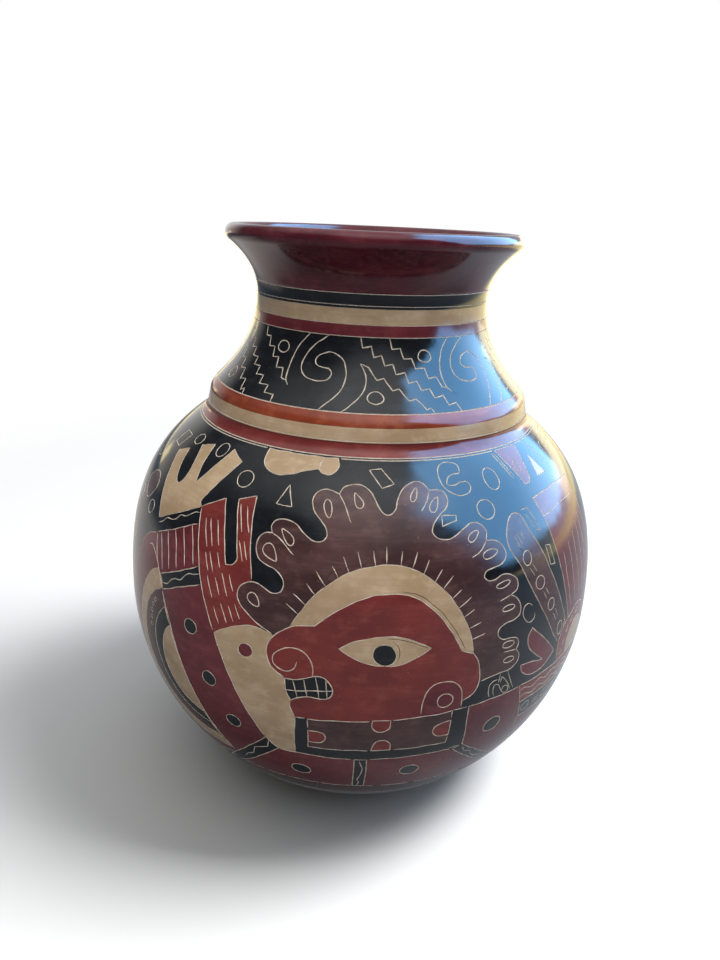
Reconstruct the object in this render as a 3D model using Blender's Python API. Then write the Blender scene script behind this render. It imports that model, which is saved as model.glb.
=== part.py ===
"""Carved pottery vase, built as six clay sections luted one on another.

Lengths are in metres, +Z is up, and the vase stands on z = 0 with its axis on Z.
Every section is a closed profile in the XZ plane, turned once round Z.
The outer line is worked out from the radii and rises below, the inner line lies one
wall inside it, and neighbouring sections share the seam line that parts them.
"""
import math

import bmesh
import bpy
from mathutils import Vector

# Radii of the outer surface, from the foot to the lip.
FOOT_RADIUS = 0.0580
BELLY_RADIUS = 0.1250
COLLAR_RADIUS = 0.0827
THROAT_RADIUS = 0.0576
LIP_RADIUS = 0.0726

# Steps in radius at the collar, which the belly below and the neck above both follow.
SEAT_REACH = 0.0042
COLLAR_LEDGE = 0.0007
COLLAR_TAPER = 0.0013
ROUNDING_INSET = 0.0039

# Rises, each from the feature below it.
SLAB_EDGE_RISE = 0.0060
SHOULDER_RISE = 0.0897
SEAT_RISE = 0.0058
COLLAR_RISE = 0.0061
ROUNDING_RISE = 0.0053
NECK_RISE = 0.0426
RIM_SEAM_RISE = 0.0048
FLARE_RISE = 0.0268

# Thicknesses of the clay.
WALL = 0.0070
FLOOR = 0.0090
LIP_THICKNESS = 0.0082

# Film of joining slip between two luted sections.
SEAM_GAP = 0.0003

# Slopes of the outer line, in degrees above the horizontal.
SHOULDER_SLOPE = 36.2
NECK_FOOT_SLOPE = 45.4
LIP_SLOPE = 38.8

# Handle lengths of the curves, which say how full each stretch is.
BELLY_FULLNESS = 0.0556
SHOULDER_FULLNESS = 0.0252
SEAT_FULLNESS = 0.0026
ROUNDING_FULLNESS = 0.0024
NECK_FULLNESS = 0.0193
THROAT_FULLNESS = 0.0170
RIM_FULLNESS = 0.0095
FLARE_FULLNESS = 0.0103

# Facets round the axis, and points along a long, a middle and a short curve.
TURN_STEPS = 64
LONG_POINTS = 10
MIDDLE_POINTS = 6
SHORT_POINTS = 4
MERGE_DISTANCE = 0.00005
SHARP_ANGLE = 35.0

# Burnished slips, as sRGB colours, with their roughness.
BLACK_SLIP = ((0.13, 0.15, 0.17), 0.35)
CREAM_SLIP = ((0.71, 0.61, 0.46), 0.45)
OXBLOOD_SLIP = ((0.35, 0.16, 0.16), 0.35)
BROWN_CLAY = ((0.27, 0.19, 0.17), 0.55)


class Arc:
    """Part of a circle in the (radius, height) plane."""

    def __init__(self, centre, radius, start, end):
        self.centre = Vector(centre)
        self.radius = radius
        self.start = start
        self.end = end

    def angle(self, t):
        """Angle at t, which runs from 0 at the start to 1 at the end."""
        return self.start + (self.end - self.start) * t

    def point(self, t):
        """Point at t."""
        return self.centre + self.radius * Vector((math.cos(self.angle(t)), math.sin(self.angle(t))))

    def tangent(self, t):
        """Unit direction of travel at t."""
        turn = math.copysign(1.0, self.end - self.start)
        return turn * Vector((-math.sin(self.angle(t)), math.cos(self.angle(t))))


class Bezier:
    """Bezier curve through the (radius, height) plane, of any degree."""

    def __init__(self, *controls):
        self.controls = [Vector(control) for control in controls]

    def point(self, t):
        """Point at t."""
        points = self.controls
        while len(points) > 1:
            points = [a.lerp(b, t) for a, b in zip(points, points[1:])]
        return points[0]

    def tangent(self, t):
        """Unit direction of travel at t."""
        legs = [b - a for a, b in zip(self.controls, self.controls[1:])]
        return Bezier(*legs).point(t).normalized()

    def at_height(self, height):
        """Value of t where a rising curve passes the height."""
        low, high = 0.0, 1.0
        for _ in range(40):
            middle = (low + high) / 2
            if self.point(middle).y < height:
                low = middle
            else:
                high = middle
        return (low + high) / 2


class Seam:
    """Line across the wall where one section is luted to the next."""

    def __init__(self, outer, tangent, depth):
        self.outer = Vector(outer)
        self.tangent = tangent
        self.depth = depth

    def ends(self, side):
        """Outer and inner end for the section above (side 1) or below (side -1)."""
        shift = self.tangent * (side * SEAM_GAP / 2)
        return self.outer + shift, self.outer + shift - outward(self.tangent) * self.depth


def slope(degrees, leans_out):
    """Unit direction that rises at the slope, leaning out from the axis or in."""
    angle = math.radians(degrees)
    return Vector((math.cos(angle) if leans_out else -math.cos(angle), math.sin(angle)))


def outward(tangent):
    """Outward normal of an outer line that is traced upwards."""
    return Vector((tangent.y, -tangent.x))


class Vessel:
    """Outer curves and seams of the vase, all worked out from the driving sizes."""

    def __init__(self):
        centre = math.sqrt(BELLY_RADIUS ** 2 - FOOT_RADIUS ** 2)
        slab_angle = math.asin((SLAB_EDGE_RISE - centre) / BELLY_RADIUS)
        foot_angle = -math.acos(FOOT_RADIUS / BELLY_RADIUS)
        seat_radius = COLLAR_RADIUS - COLLAR_LEDGE
        collar_top_radius = COLLAR_RADIUS - COLLAR_TAPER
        shoulder = Vector((seat_radius + SEAT_REACH, centre + SHOULDER_RISE))
        seat = Vector((seat_radius, shoulder.y + SEAT_RISE))
        collar_foot = Vector((COLLAR_RADIUS, seat.y))
        collar_top = Vector((collar_top_radius, collar_foot.y + COLLAR_RISE))
        neck_foot = Vector((collar_top_radius - ROUNDING_INSET, collar_top.y + ROUNDING_RISE))
        throat = Vector((THROAT_RADIUS, neck_foot.y + NECK_RISE))
        bead = LIP_THICKNESS / 2
        lip_centre = Vector((LIP_RADIUS - bead, throat.y + FLARE_RISE))
        shoulder_way = slope(SHOULDER_SLOPE, False)
        neck_way = slope(NECK_FOOT_SLOPE, False)
        lip_way = slope(LIP_SLOPE, True)
        lip_foot = lip_centre + outward(lip_way) * bead
        upright = Vector((0.0, 1.0))

        self.floor_radius = math.sqrt((BELLY_RADIUS - WALL) ** 2 - (centre - FLOOR) ** 2)
        self.slab_edge = Arc((0, centre), BELLY_RADIUS, foot_angle, slab_angle)
        self.lower_belly = Arc((0, centre), BELLY_RADIUS, slab_angle, 0.0)
        self.upper_belly = Bezier(
            (BELLY_RADIUS, centre),
            (BELLY_RADIUS, centre + BELLY_FULLNESS),
            shoulder - shoulder_way * SHOULDER_FULLNESS,
            shoulder,
        )
        self.fillet = Bezier(
            shoulder, shoulder + shoulder_way * SEAT_FULLNESS, seat - upright * SEAT_FULLNESS, seat
        )
        collar_way = (collar_top - collar_foot).normalized()
        self.collar = Bezier(collar_foot, collar_top)
        self.rounding = Bezier(
            collar_top,
            collar_top + collar_way * ROUNDING_FULLNESS,
            neck_foot - neck_way * ROUNDING_FULLNESS,
            neck_foot,
        )
        self.neck = Bezier(
            neck_foot, neck_foot + neck_way * NECK_FULLNESS, throat - upright * THROAT_FULLNESS, throat
        )
        self.flare = Bezier(
            throat, throat + upright * RIM_FULLNESS, lip_foot - lip_way * FLARE_FULLNESS, lip_foot
        )
        lip_angle = math.radians(LIP_SLOPE - 90.0)
        self.lip = Arc(lip_centre, bead, lip_angle, lip_angle + math.pi)
        self.rim_start = self.flare.at_height(throat.y + RIM_SEAM_RISE)

        self.slab_seam = Seam(self.slab_edge.point(1), self.slab_edge.tangent(1), WALL)
        self.belly_seam = Seam(self.lower_belly.point(1), self.lower_belly.tangent(1), WALL)
        self.collar_seam = Seam(seat, shoulder_way, WALL)
        self.neck_seam = Seam(neck_foot, neck_way, WALL)
        self.rim_seam = Seam(
            self.flare.point(self.rim_start), self.flare.tangent(self.rim_start), WALL
        )


def trace(curve, count, start=0.0, end=1.0):
    """Points strictly between two places on a curve, in order."""
    return [curve.point(start + (end - start) * i / count) for i in range(1, count)]


def trace_inside(curve, count, start=0.0, end=1.0, depth=WALL, end_depth=WALL):
    """Points of the inner face behind a stretch of the outer line, in order."""
    points = []
    for i in range(1, count):
        share = i / count
        t = start + (end - start) * share
        thickness = depth + (end_depth - depth) * share
        points.append(curve.point(t) - outward(curve.tangent(t)) * thickness)
    return points


def ring_profile(below, above, outer, inner):
    """Closed profile of a section between two seams, running down its outer side."""
    low_out, low_in = below.ends(1)
    high_out, high_in = above.ends(-1)
    return [high_out, *reversed(outer), low_out, low_in, *inner, high_in]


def slab_profile(vessel):
    """Open profile of the base, from the floor's centre to the foot's centre."""
    seat_out, seat_in = vessel.slab_seam.ends(-1)
    edge = trace(vessel.slab_edge, SHORT_POINTS)
    return [
        Vector((0.0, FLOOR)),
        Vector((vessel.floor_radius, FLOOR)),
        seat_in,
        seat_out,
        *reversed(edge),
        Vector((FOOT_RADIUS, 0.0)),
        Vector((0.0, 0.0)),
    ]


def lower_belly_profile(vessel):
    """Closed profile of the bowl that rises from the slab to the widest line."""
    return ring_profile(
        vessel.slab_seam,
        vessel.belly_seam,
        trace(vessel.lower_belly, LONG_POINTS),
        trace_inside(vessel.lower_belly, LONG_POINTS),
    )


def upper_belly_profile(vessel):
    """Closed profile of the bowl that closes in from the widest line to the collar."""
    belly = trace(vessel.upper_belly, LONG_POINTS)
    fillet = trace(vessel.fillet, SHORT_POINTS)
    inner = trace_inside(vessel.upper_belly, LONG_POINTS)
    return ring_profile(
        vessel.belly_seam,
        vessel.collar_seam,
        [*belly, vessel.fillet.point(0), *fillet],
        inner,
    )


def shoulder_ring_profile(vessel):
    """Closed profile of the collar that stands proud between belly and neck."""
    rounding = trace(vessel.rounding, SHORT_POINTS)
    ledge = vessel.collar.point(0) + vessel.collar_seam.tangent * (SEAM_GAP / 2)
    return ring_profile(
        vessel.collar_seam,
        vessel.neck_seam,
        [ledge, vessel.collar.point(1), *rounding],
        [],
    )


def neck_profile(vessel):
    """Closed profile of the neck, from the collar to the seam above the throat."""
    start = vessel.rim_start
    throat_inside = vessel.neck.point(1) - Vector((WALL, 0.0))
    return ring_profile(
        vessel.neck_seam,
        vessel.rim_seam,
        [*trace(vessel.neck, LONG_POINTS), vessel.neck.point(1), *trace(vessel.flare, 2, 0.0, start)],
        [*trace_inside(vessel.neck, LONG_POINTS), throat_inside],
    )


def rim_profile(vessel):
    """Closed profile of the flared rim with its rounded lip."""
    start = vessel.rim_start
    low_out, low_in = vessel.rim_seam.ends(1)
    outer = trace(vessel.flare, MIDDLE_POINTS, start, 1.0)
    inner = trace_inside(vessel.flare, MIDDLE_POINTS, start, 1.0, WALL, LIP_THICKNESS)
    lip = [vessel.lip.point(0), *trace(vessel.lip, LONG_POINTS), vessel.lip.point(1)]
    return [*reversed([*outer, *lip]), low_out, low_in, *inner]


def slip_material(name, slip):
    """Principled material of one burnished slip."""
    srgb, roughness = slip
    linear = [((c + 0.055) / 1.055) ** 2.4 for c in srgb]
    material = bpy.data.materials.new(name)
    material.use_nodes = True
    shader = material.node_tree.nodes["Principled BSDF"]
    shader.inputs["Base Color"].default_value = (*linear, 1.0)
    shader.inputs["Roughness"].default_value = roughness
    shader.inputs["Metallic"].default_value = 0.0
    return material


def turned(name, profile, slip, parent, closed=True):
    """Object made by turning a profile once round Z."""
    builder = bmesh.new()
    verts = [builder.verts.new((point.x, 0.0, point.y)) for point in profile]
    ends = verts[1:] + verts[:1] if closed else verts[1:]
    edges = [builder.edges.new(pair) for pair in zip(verts, ends)]
    bmesh.ops.spin(
        builder, geom=verts + edges, axis=(0, 0, 1), angle=math.tau, steps=TURN_STEPS, use_merge=True
    )
    bmesh.ops.remove_doubles(builder, verts=builder.verts, dist=MERGE_DISTANCE)
    bmesh.ops.recalc_face_normals(builder, faces=builder.faces)
    mesh = bpy.data.meshes.new(name)
    builder.to_mesh(mesh)
    builder.free()
    mesh.shade_smooth()
    mesh.set_sharp_from_angle(angle=math.radians(SHARP_ANGLE))
    mesh.materials.append(slip_material(name, slip))

    section = bpy.data.objects.new(name, mesh)
    bpy.context.scene.collection.objects.link(section)
    section.parent = parent
    return section


def main():
    """Clear the scene and build the six sections."""
    for item in list(bpy.data.objects):
        bpy.data.objects.remove(item)
    vessel = Vessel()
    stand = bpy.data.objects.new("vase", None)
    bpy.context.scene.collection.objects.link(stand)
    turned("base_slab", slab_profile(vessel), BROWN_CLAY, stand, closed=False)
    turned("lower_belly", lower_belly_profile(vessel), BLACK_SLIP, stand)
    turned("upper_belly", upper_belly_profile(vessel), BLACK_SLIP, stand)
    turned("shoulder_ring", shoulder_ring_profile(vessel), CREAM_SLIP, stand)
    turned("neck", neck_profile(vessel), BLACK_SLIP, stand)
    turned("flared_rim", rim_profile(vessel), OXBLOOD_SLIP, stand)


main()
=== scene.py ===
"""Dresses a carved pottery vase: turned clay sections, coloured slips, carved lines, light and camera."""

import logging
import math
from collections.abc import Sequence
from dataclasses import dataclass, field
from enum import Enum

import bpy
import numpy as np
from mathutils import Matrix, Vector
from mathutils.geometry import delaunay_2d_cdt
from mathutils.kdtree import KDTree


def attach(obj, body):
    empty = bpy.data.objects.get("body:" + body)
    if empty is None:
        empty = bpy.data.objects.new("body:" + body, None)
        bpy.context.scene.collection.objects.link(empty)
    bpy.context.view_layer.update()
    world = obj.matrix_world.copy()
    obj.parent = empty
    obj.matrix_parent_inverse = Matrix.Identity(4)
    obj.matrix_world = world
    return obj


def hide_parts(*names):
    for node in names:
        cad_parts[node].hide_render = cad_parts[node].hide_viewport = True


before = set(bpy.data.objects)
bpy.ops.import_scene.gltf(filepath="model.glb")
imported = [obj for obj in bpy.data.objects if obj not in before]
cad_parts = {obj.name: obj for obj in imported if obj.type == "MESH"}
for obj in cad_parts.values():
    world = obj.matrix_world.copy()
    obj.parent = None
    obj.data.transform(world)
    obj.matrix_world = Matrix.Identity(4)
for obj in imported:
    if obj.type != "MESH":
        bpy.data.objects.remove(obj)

LOG = logging.getLogger("vase")
MM = 0.001

# Carved lines: widths and depth in millimetres
BOLD = 0.5
LINE = 0.42
FINE = 0.33
SCRATCHED = 0.26
CUT_DEPTH = 0.30

# A groove's section, by shares of its half width: where it starts to fall, how steeply, and its floor
BRINK = 0.96
FLANK = 1.5
BED = 0.85

# The carver's hand: sideways sway in millimetres, and how a line's width swells and thins at its ends
SWAY = 0.13
SWELL = 0.16
SWELL_PACE = 0.9
END_WIDTH = 0.45
END_GAIN = 0.3

# Millimetres between points along drawn lines, along level lines and over plain ground
STEP = 1.1
LEVEL_STEP = 2.0
MESH_STEP = 3.6

# Millimetres within which points count as too near a line, as at the seam, as touching or as one
CLEARANCE = 1.0
MARGIN = 2.0
TOUCHING = 0.5
SNAP = 0.006
MERGE = 0.002
WELD = 0.003

# Shares of a line's step: between the places where depth is measured, and how far each one reaches
CENTRE_STEP = 0.12
SLIDE = 0.6

# Copies of a drawing round the vase, and points round the inner wall of each
COPIES = 2
LINING_STEPS = 48

# Angle above which edges stay sharp, and the mark of a knot at which a line has a corner
SHARP = math.radians(40)
TIP = 1

Piece = bpy.types.Object
Array = np.ndarray
Knot = tuple[float, ...]
Chain = tuple[Array, Array]
Colour = tuple[float, float, float]


class Slip(Enum):
    """Coloured coats of fine clay, each with its place in the material list."""

    BLACK = 0
    BRICK = 1
    OXBLOOD = 2
    ORANGE = 3
    CREAM = 4
    BROWN = 5
    WINE = 6
    CUT = 7
    SCRATCH = 8
    CLAY = 9


def through(knots: Array, closed: bool) -> Array:
    """Draws a smooth line through knots, with its points about STEP apart.

    Args:
        knots: Array that the line passes, one row each.
        closed: Whether the line returns to its first point.

    Returns:
        The points of the line, without the first one repeated if it is closed.
    """
    if closed:
        padded = np.vstack([knots[-1:], knots, knots[:2]])
    else:
        padded = np.vstack([2 * knots[0] - knots[1], knots, 2 * knots[-1] - knots[-2]])
    chord = np.linalg.norm(np.diff(padded, axis=0), axis=1)[:, None]
    slope = np.diff(padded, axis=0) / chord
    tangent = (slope[:-1] * chord[1:] + slope[1:] * chord[:-1]) / (chord[:-1] + chord[1:])
    runs = []
    for i in range(1, len(padded) - 2):
        count = max(1, math.ceil(chord[i, 0] / STEP))
        t = (np.arange(count) / count)[:, None]
        start = (1 + 2 * t) * (1 - t) ** 2 * padded[i] + t * (1 - t) ** 2 * chord[i] * tangent[i - 1]
        end = t**2 * (3 - 2 * t) * padded[i + 1] - t**2 * (1 - t) * chord[i] * tangent[i]
        runs.append(start + end)
    if not closed:
        runs.append(padded[-2:-1])
    return np.vstack(runs)


def line(knots: Sequence[Knot], closed: bool = False) -> Array:
    """Draws a line through knots that bends smoothly, except at the corners.

    Args:
        knots: Places round and up the wall; a third value, TIP, makes the place a corner.
        closed: Whether the line returns to its first point.

    Returns:
        The points of the line.
    """
    places = np.array([knot[:2] for knot in knots], dtype=float)
    corners = [i for i, knot in enumerate(knots) if len(knot) > 2]
    if closed and not corners:
        return through(places, True)
    if closed:
        order = [(corners[0] + i) % len(knots) for i in range(len(knots) + 1)]
        places = places[order]
        corners = [i for i, j in enumerate(order) if len(knots[j]) > 2]
    stops = sorted({0, len(places) - 1, *corners})
    runs = [through(places[a : b + 1], False)[:-1] for a, b in zip(stops, stops[1:])]
    if not closed:
        runs.append(places[-1:])
    return np.vstack(runs)


def straight(knots: Sequence[Knot], closed: bool = False) -> Array:
    """Draws straight strokes from knot to knot."""
    return line([(*knot[:2], TIP) for knot in knots], closed)


def oval(u: float, v: float, across: float, up: float, tilt: float = 0.0, point: float = 0.0) -> Array:
    """Draws an oval, or a drop with a narrow end.

    Args:
        u: Middle, round the wall.
        v: Middle, up the wall.
        across: Half length before tilting.
        up: Half width before tilting.
        tilt: Turn in degrees.
        point: How far the end that the tilt points at narrows, or, below 0, the other end.

    Returns:
        The outline's points.
    """
    count = max(16, round(math.pi * (across + up) / STEP))
    angle = np.linspace(0, 2 * math.pi, count, endpoint=False)
    x = across * np.cos(angle)
    y = up * np.sin(angle) * (1 - point * np.cos(angle))
    turn = math.radians(tilt)
    aside = u + x * math.cos(turn) - y * math.sin(turn)
    height = v + x * math.sin(turn) + y * math.cos(turn)
    return np.column_stack([aside, height])


def zigzag(start: Knot, end: Knot, count: int, lean: float, rise: float) -> list[Knot]:
    """Gives the corners of a stepped stroke that ends with a drop.

    Args:
        start: Upper end of the stroke.
        end: Lower end of the stroke.
        count: Number of drops.
        lean: Share of a step's length that its drop takes.
        rise: How far the stroke rises after a drop, as a share of a step's height.

    Returns:
        The corners, from start to end.
    """
    run = (end[0] - start[0]) / (count - 1 + lean)
    drop = (end[1] - start[1]) / (count + rise)
    knots = []
    for i in range(count):
        knots.append((start[0] + i * run, start[1] + i * drop))
        knots.append((start[0] + (i + lean) * run, start[1] + (i + 1 + rise) * drop))
    return knots


def stair(start: Knot, end: Knot, count: int) -> Array:
    """Draws a stepped stroke: a steep drop and then a level run, count times.

    Args:
        start: Upper end of the stroke.
        end: Lower end of the stroke.
        count: Number of steps.

    Returns:
        The points of the line.
    """
    lean = 0.22
    rise = 0.04
    run = (end[0] - start[0]) / count
    drop = (end[1] - start[1]) / count
    last = (end[0] - (1 - lean) * run, end[1] + rise * drop)
    return straight([*zigzag(start, last, count, lean, rise), end])


def ripple(start: Knot, end: Knot, waves: float, height: float) -> Array:
    """Draws a wavy stroke.

    Args:
        start: First end of the stroke.
        end: Second end of the stroke.
        waves: Number of waves along it.
        height: Height of a wave to either side.

    Returns:
        The points of the line.
    """
    a = np.array(start)
    b = np.array(end)
    length = np.linalg.norm(b - a)
    t = np.linspace(0, 1, math.ceil(length / STEP))[:, None]
    aside = np.array([a[1] - b[1], b[0] - a[0]]) / length
    return a + (b - a) * t + aside * height * np.sin(2 * math.pi * waves * t)


@dataclass(frozen=True)
class Cut:
    """A carved line with its width along it."""

    path: Array
    closed: bool
    width: float
    steady: bool = False
    floor: Slip = Slip.CUT

    def half_widths(self) -> Array:
        """Gives half of the width at each point, as a hand-held tool leaves it.

        Returns:
            Half widths in millimetres, thinner at the ends of an open line.
        """
        along = np.arange(len(self.path))
        if self.steady:
            return np.full(len(along), 0.5 * self.width)
        half = 0.5 * self.width * (1 + SWELL * np.sin(SWELL_PACE * along + self.path[0, 0]))
        if not self.closed:
            ends = np.minimum(along, len(self.path) - 1 - along)
            half *= np.clip(END_WIDTH + END_GAIN * ends, 0, 1)
        return half


@dataclass
class Sheet:
    """Unrolled drawing on a turned wall, in millimetres round (u) and up (v) the wall."""

    ground: Slip
    period: float
    areas: list[tuple[Array, Slip]] = field(default_factory=list)
    cuts: list[Cut] = field(default_factory=list)
    edges: list[Array] = field(default_factory=list)

    def unsteady(self, path: Array) -> Array:
        """Moves a line's points a little, by the place they are at, as a hand does.

        Args:
            path: Array of the line.

        Returns:
            The moved points.
        """
        turn = 2 * math.pi / self.period
        u, v = path.T
        aside = np.sin(19 * turn * u + 0.23 * v) + 0.6 * np.sin(43 * turn * u - 0.31 * v)
        up = np.sin(23 * turn * u - 0.19 * v + 1.0) + 0.6 * np.sin(37 * turn * u + 0.37 * v)
        return path + SWAY * np.column_stack([aside, up])

    def level(self, v: float) -> Array:
        """Draws a line all round at one height, over the seam of the drawing at both ends.

        Args:
            v: Height up the wall.

        Returns:
            The points of the line.
        """
        overlap = 6
        count = round(self.period / LEVEL_STEP)
        u = (np.arange(-overlap, count + overlap + 1) / count - 0.5) * self.period
        return np.column_stack([u, np.full_like(u, v)])

    def area(self, outline: Array, slip: Slip, width: float = LINE) -> None:
        """Lays an area of slip over what is there and carves its outline.

        Args:
            outline: Closed outline.
            slip: Slip that fills it.
            width: Width of the carved outline, or 0 for none.
        """
        outline = self.unsteady(outline)
        self.cover(outline)
        self.areas.append((outline, slip))
        if width:
            self.cuts.append(Cut(outline, True, width))
        else:
            self.edges.append(np.vstack([outline, outline[:1]]))

    def cover(self, outline: Array) -> None:
        """Takes away the carved lines under a new area, and those along its outline.

        Args:
            outline: Closed outline of the area.
        """
        cuts = []
        for cut in self.cuts:
            path = np.vstack([cut.path, cut.path[:1]]) if cut.closed else cut.path
            hidden = inside(path, outline) | (gap_to(path, outline) < TOUCHING)
            if not hidden.any():
                cuts.append(cut)
                continue
            stops = np.flatnonzero(np.diff(np.concatenate([[True], hidden, [True]]).astype(int)))
            for start, end in stops.reshape(-1, 2):
                if end - start > 2:
                    cuts.append(Cut(path[start:end], False, cut.width, cut.steady, cut.floor))
        self.cuts = cuts

    def band(self, low: float, high: float, slip: Slip) -> None:
        """Lays a band of slip all round.

        Args:
            low: Lower height.
            high: Upper height.
            slip: Slip that fills it.
        """
        lower = self.level(low)
        upper = self.level(high)
        self.areas.append((np.vstack([lower, upper[::-1]]), slip))
        self.edges.extend([lower, upper])

    def ring(self, v: float, width: float = LINE) -> None:
        """Carves a line all round at one height."""
        self.cuts.append(Cut(self.level(v), False, width, True))

    def cut(self, path: Array, width: float = LINE) -> None:
        """Carves an open line."""
        self.cuts.append(Cut(self.unsteady(path), False, width))

    def loop(self, path: Array, width: float = LINE) -> None:
        """Carves a closed line."""
        self.cuts.append(Cut(self.unsteady(path), True, width))

    def stroke(self, knots: Sequence[Knot], width: float = LINE) -> None:
        """Carves a smooth line through knots."""
        self.cut(line(knots), width)

    def score(self, knots: Sequence[Knot], width: float = LINE) -> None:
        """Carves straight strokes from knot to knot."""
        self.cut(straight(knots), width)

    def scratch(self, knots: Sequence[Knot]) -> None:
        """Carves a thin smooth line with a dark floor."""
        self.cuts.append(Cut(self.unsteady(line(knots)), False, SCRATCHED, False, Slip.SCRATCH))

    def shape(self, knots: Sequence[Knot], slip: Slip, width: float = LINE) -> None:
        """Lays an area with a smooth outline through knots."""
        self.area(line(knots, True), slip, width)

    def plate(self, knots: Sequence[Knot], slip: Slip, width: float = LINE) -> None:
        """Lays an area with straight sides from knot to knot."""
        self.area(straight(knots, True), slip, width)


class Meridian:
    """Outer line of a turned section, measured along the wall."""

    def __init__(self, points: Array, datum: float) -> None:
        """Measures the line.

        Args:
            points: Radius and height from bottom to top, in millimetres.
            datum: Height at which the distance up the wall is zero.
        """
        self.radius, self.height = points.T
        along = np.concatenate([[0], np.cumsum(np.linalg.norm(np.diff(points, axis=0), axis=1))])
        self.along = along - np.interp(datum, self.height, along)
        direction = np.gradient(points, self.along, axis=0)
        direction /= np.linalg.norm(direction, axis=1)[:, None]
        self.out = np.column_stack([direction[:, 1], -direction[:, 0]])

    def at(self, v: Array) -> tuple[Array, Array]:
        """Gives radius and height at distances up the wall."""
        return np.interp(v, self.along, self.radius), np.interp(v, self.along, self.height)

    def outward(self, v: Array) -> Array:
        """Gives the outward direction in radius and height at distances up the wall."""
        return np.column_stack([np.interp(v, self.along, self.out[:, i]) for i in range(2)])

    def up_to(self, height: float) -> float:
        """Gives the distance up the wall at a height."""
        return float(np.interp(height, self.height, self.along))


def inward(slope: float) -> Array:
    """Gives the direction in radius and height of a line that closes in at a slope in degrees."""
    lean = math.radians(slope)
    return np.array([-math.cos(lean), math.sin(lean)])


def cubic(a: Array, b: Array, c: Array, d: Array, count: int) -> Array:
    """Draws a cubic curve.

    Args:
        a: First end.
        b: First handle.
        c: Second handle.
        d: Second end.
        count: Number of points.

    Returns:
        The points of the curve.
    """
    t = np.linspace(0, 1, count)[:, None]
    weights = np.hstack([(1 - t) ** 3, 3 * t * (1 - t) ** 2, 3 * t**2 * (1 - t), t**3])
    return weights @ np.array([a, b, c, d])


def inside(points: Array, outline: Array) -> Array:
    """Tells which points lie in a closed outline.

    Args:
        points: Array to test.
        outline: Corners of the outline.

    Returns:
        True for each point inside.
    """
    hit = np.zeros(len(points), dtype=bool)
    low = outline.min(axis=0)
    high = outline.max(axis=0)
    near = np.flatnonzero(np.all((points >= low) & (points <= high), axis=1))
    if not len(near):
        return hit
    x, y = points[near].T
    odd = np.zeros(len(near), dtype=bool)
    for (x0, y0), (x1, y1) in zip(outline, np.roll(outline, -1, axis=0)):
        if y0 == y1:
            continue
        crosses = (y0 > y) != (y1 > y)
        odd ^= crosses & (x < (x1 - x0) * (y - y0) / (y1 - y0) + x0)
    hit[near] = odd
    return hit


def gap_to(points: Array, outline: Array) -> Array:
    """Gives each point's distance to a closed outline's corners or sides.

    Args:
        points: Array to measure.
        outline: Corners of the outline.

    Returns:
        Distances in millimetres.
    """
    start = outline[None]
    step = np.roll(outline, -1, axis=0)[None] - start
    away = points[:, None] - start
    along = np.clip((away * step).sum(axis=2) / np.maximum((step**2).sum(axis=2), 1e-9), 0, 1)
    return np.linalg.norm(away - along[..., None] * step, axis=2).min(axis=1)


def zipped(lower: Chain, upper: Chain) -> list[tuple[int, int, int]]:
    """Joins two chains of points with triangles.

    Args:
        lower: Numbers and places of the lower chain's points.
        upper: Numbers and places of the upper chain's points.

    Returns:
        Triangles that fill the strip between the chains.
    """
    triangles = []
    i = 0
    j = 0
    while i < len(lower[0]) - 1 or j < len(upper[0]) - 1:
        last = j == len(upper[0]) - 1
        if last or (i < len(lower[0]) - 1 and lower[1][i + 1] <= upper[1][j + 1]):
            triangles.append((lower[0][i], lower[0][i + 1], upper[0][j]))
            i += 1
        else:
            triangles.append((lower[0][i], upper[0][j + 1], upper[0][j]))
            j += 1
    return triangles


def search_tree(places: Sequence[Knot] | Array) -> KDTree:
    """Makes a tree that finds the nearest of many places.

    Args:
        places: Places in space.

    Returns:
        The tree.
    """
    tree = KDTree(len(places))
    for i, place in enumerate(places):
        tree.insert(place, i)
    tree.balance()
    return tree


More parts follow.
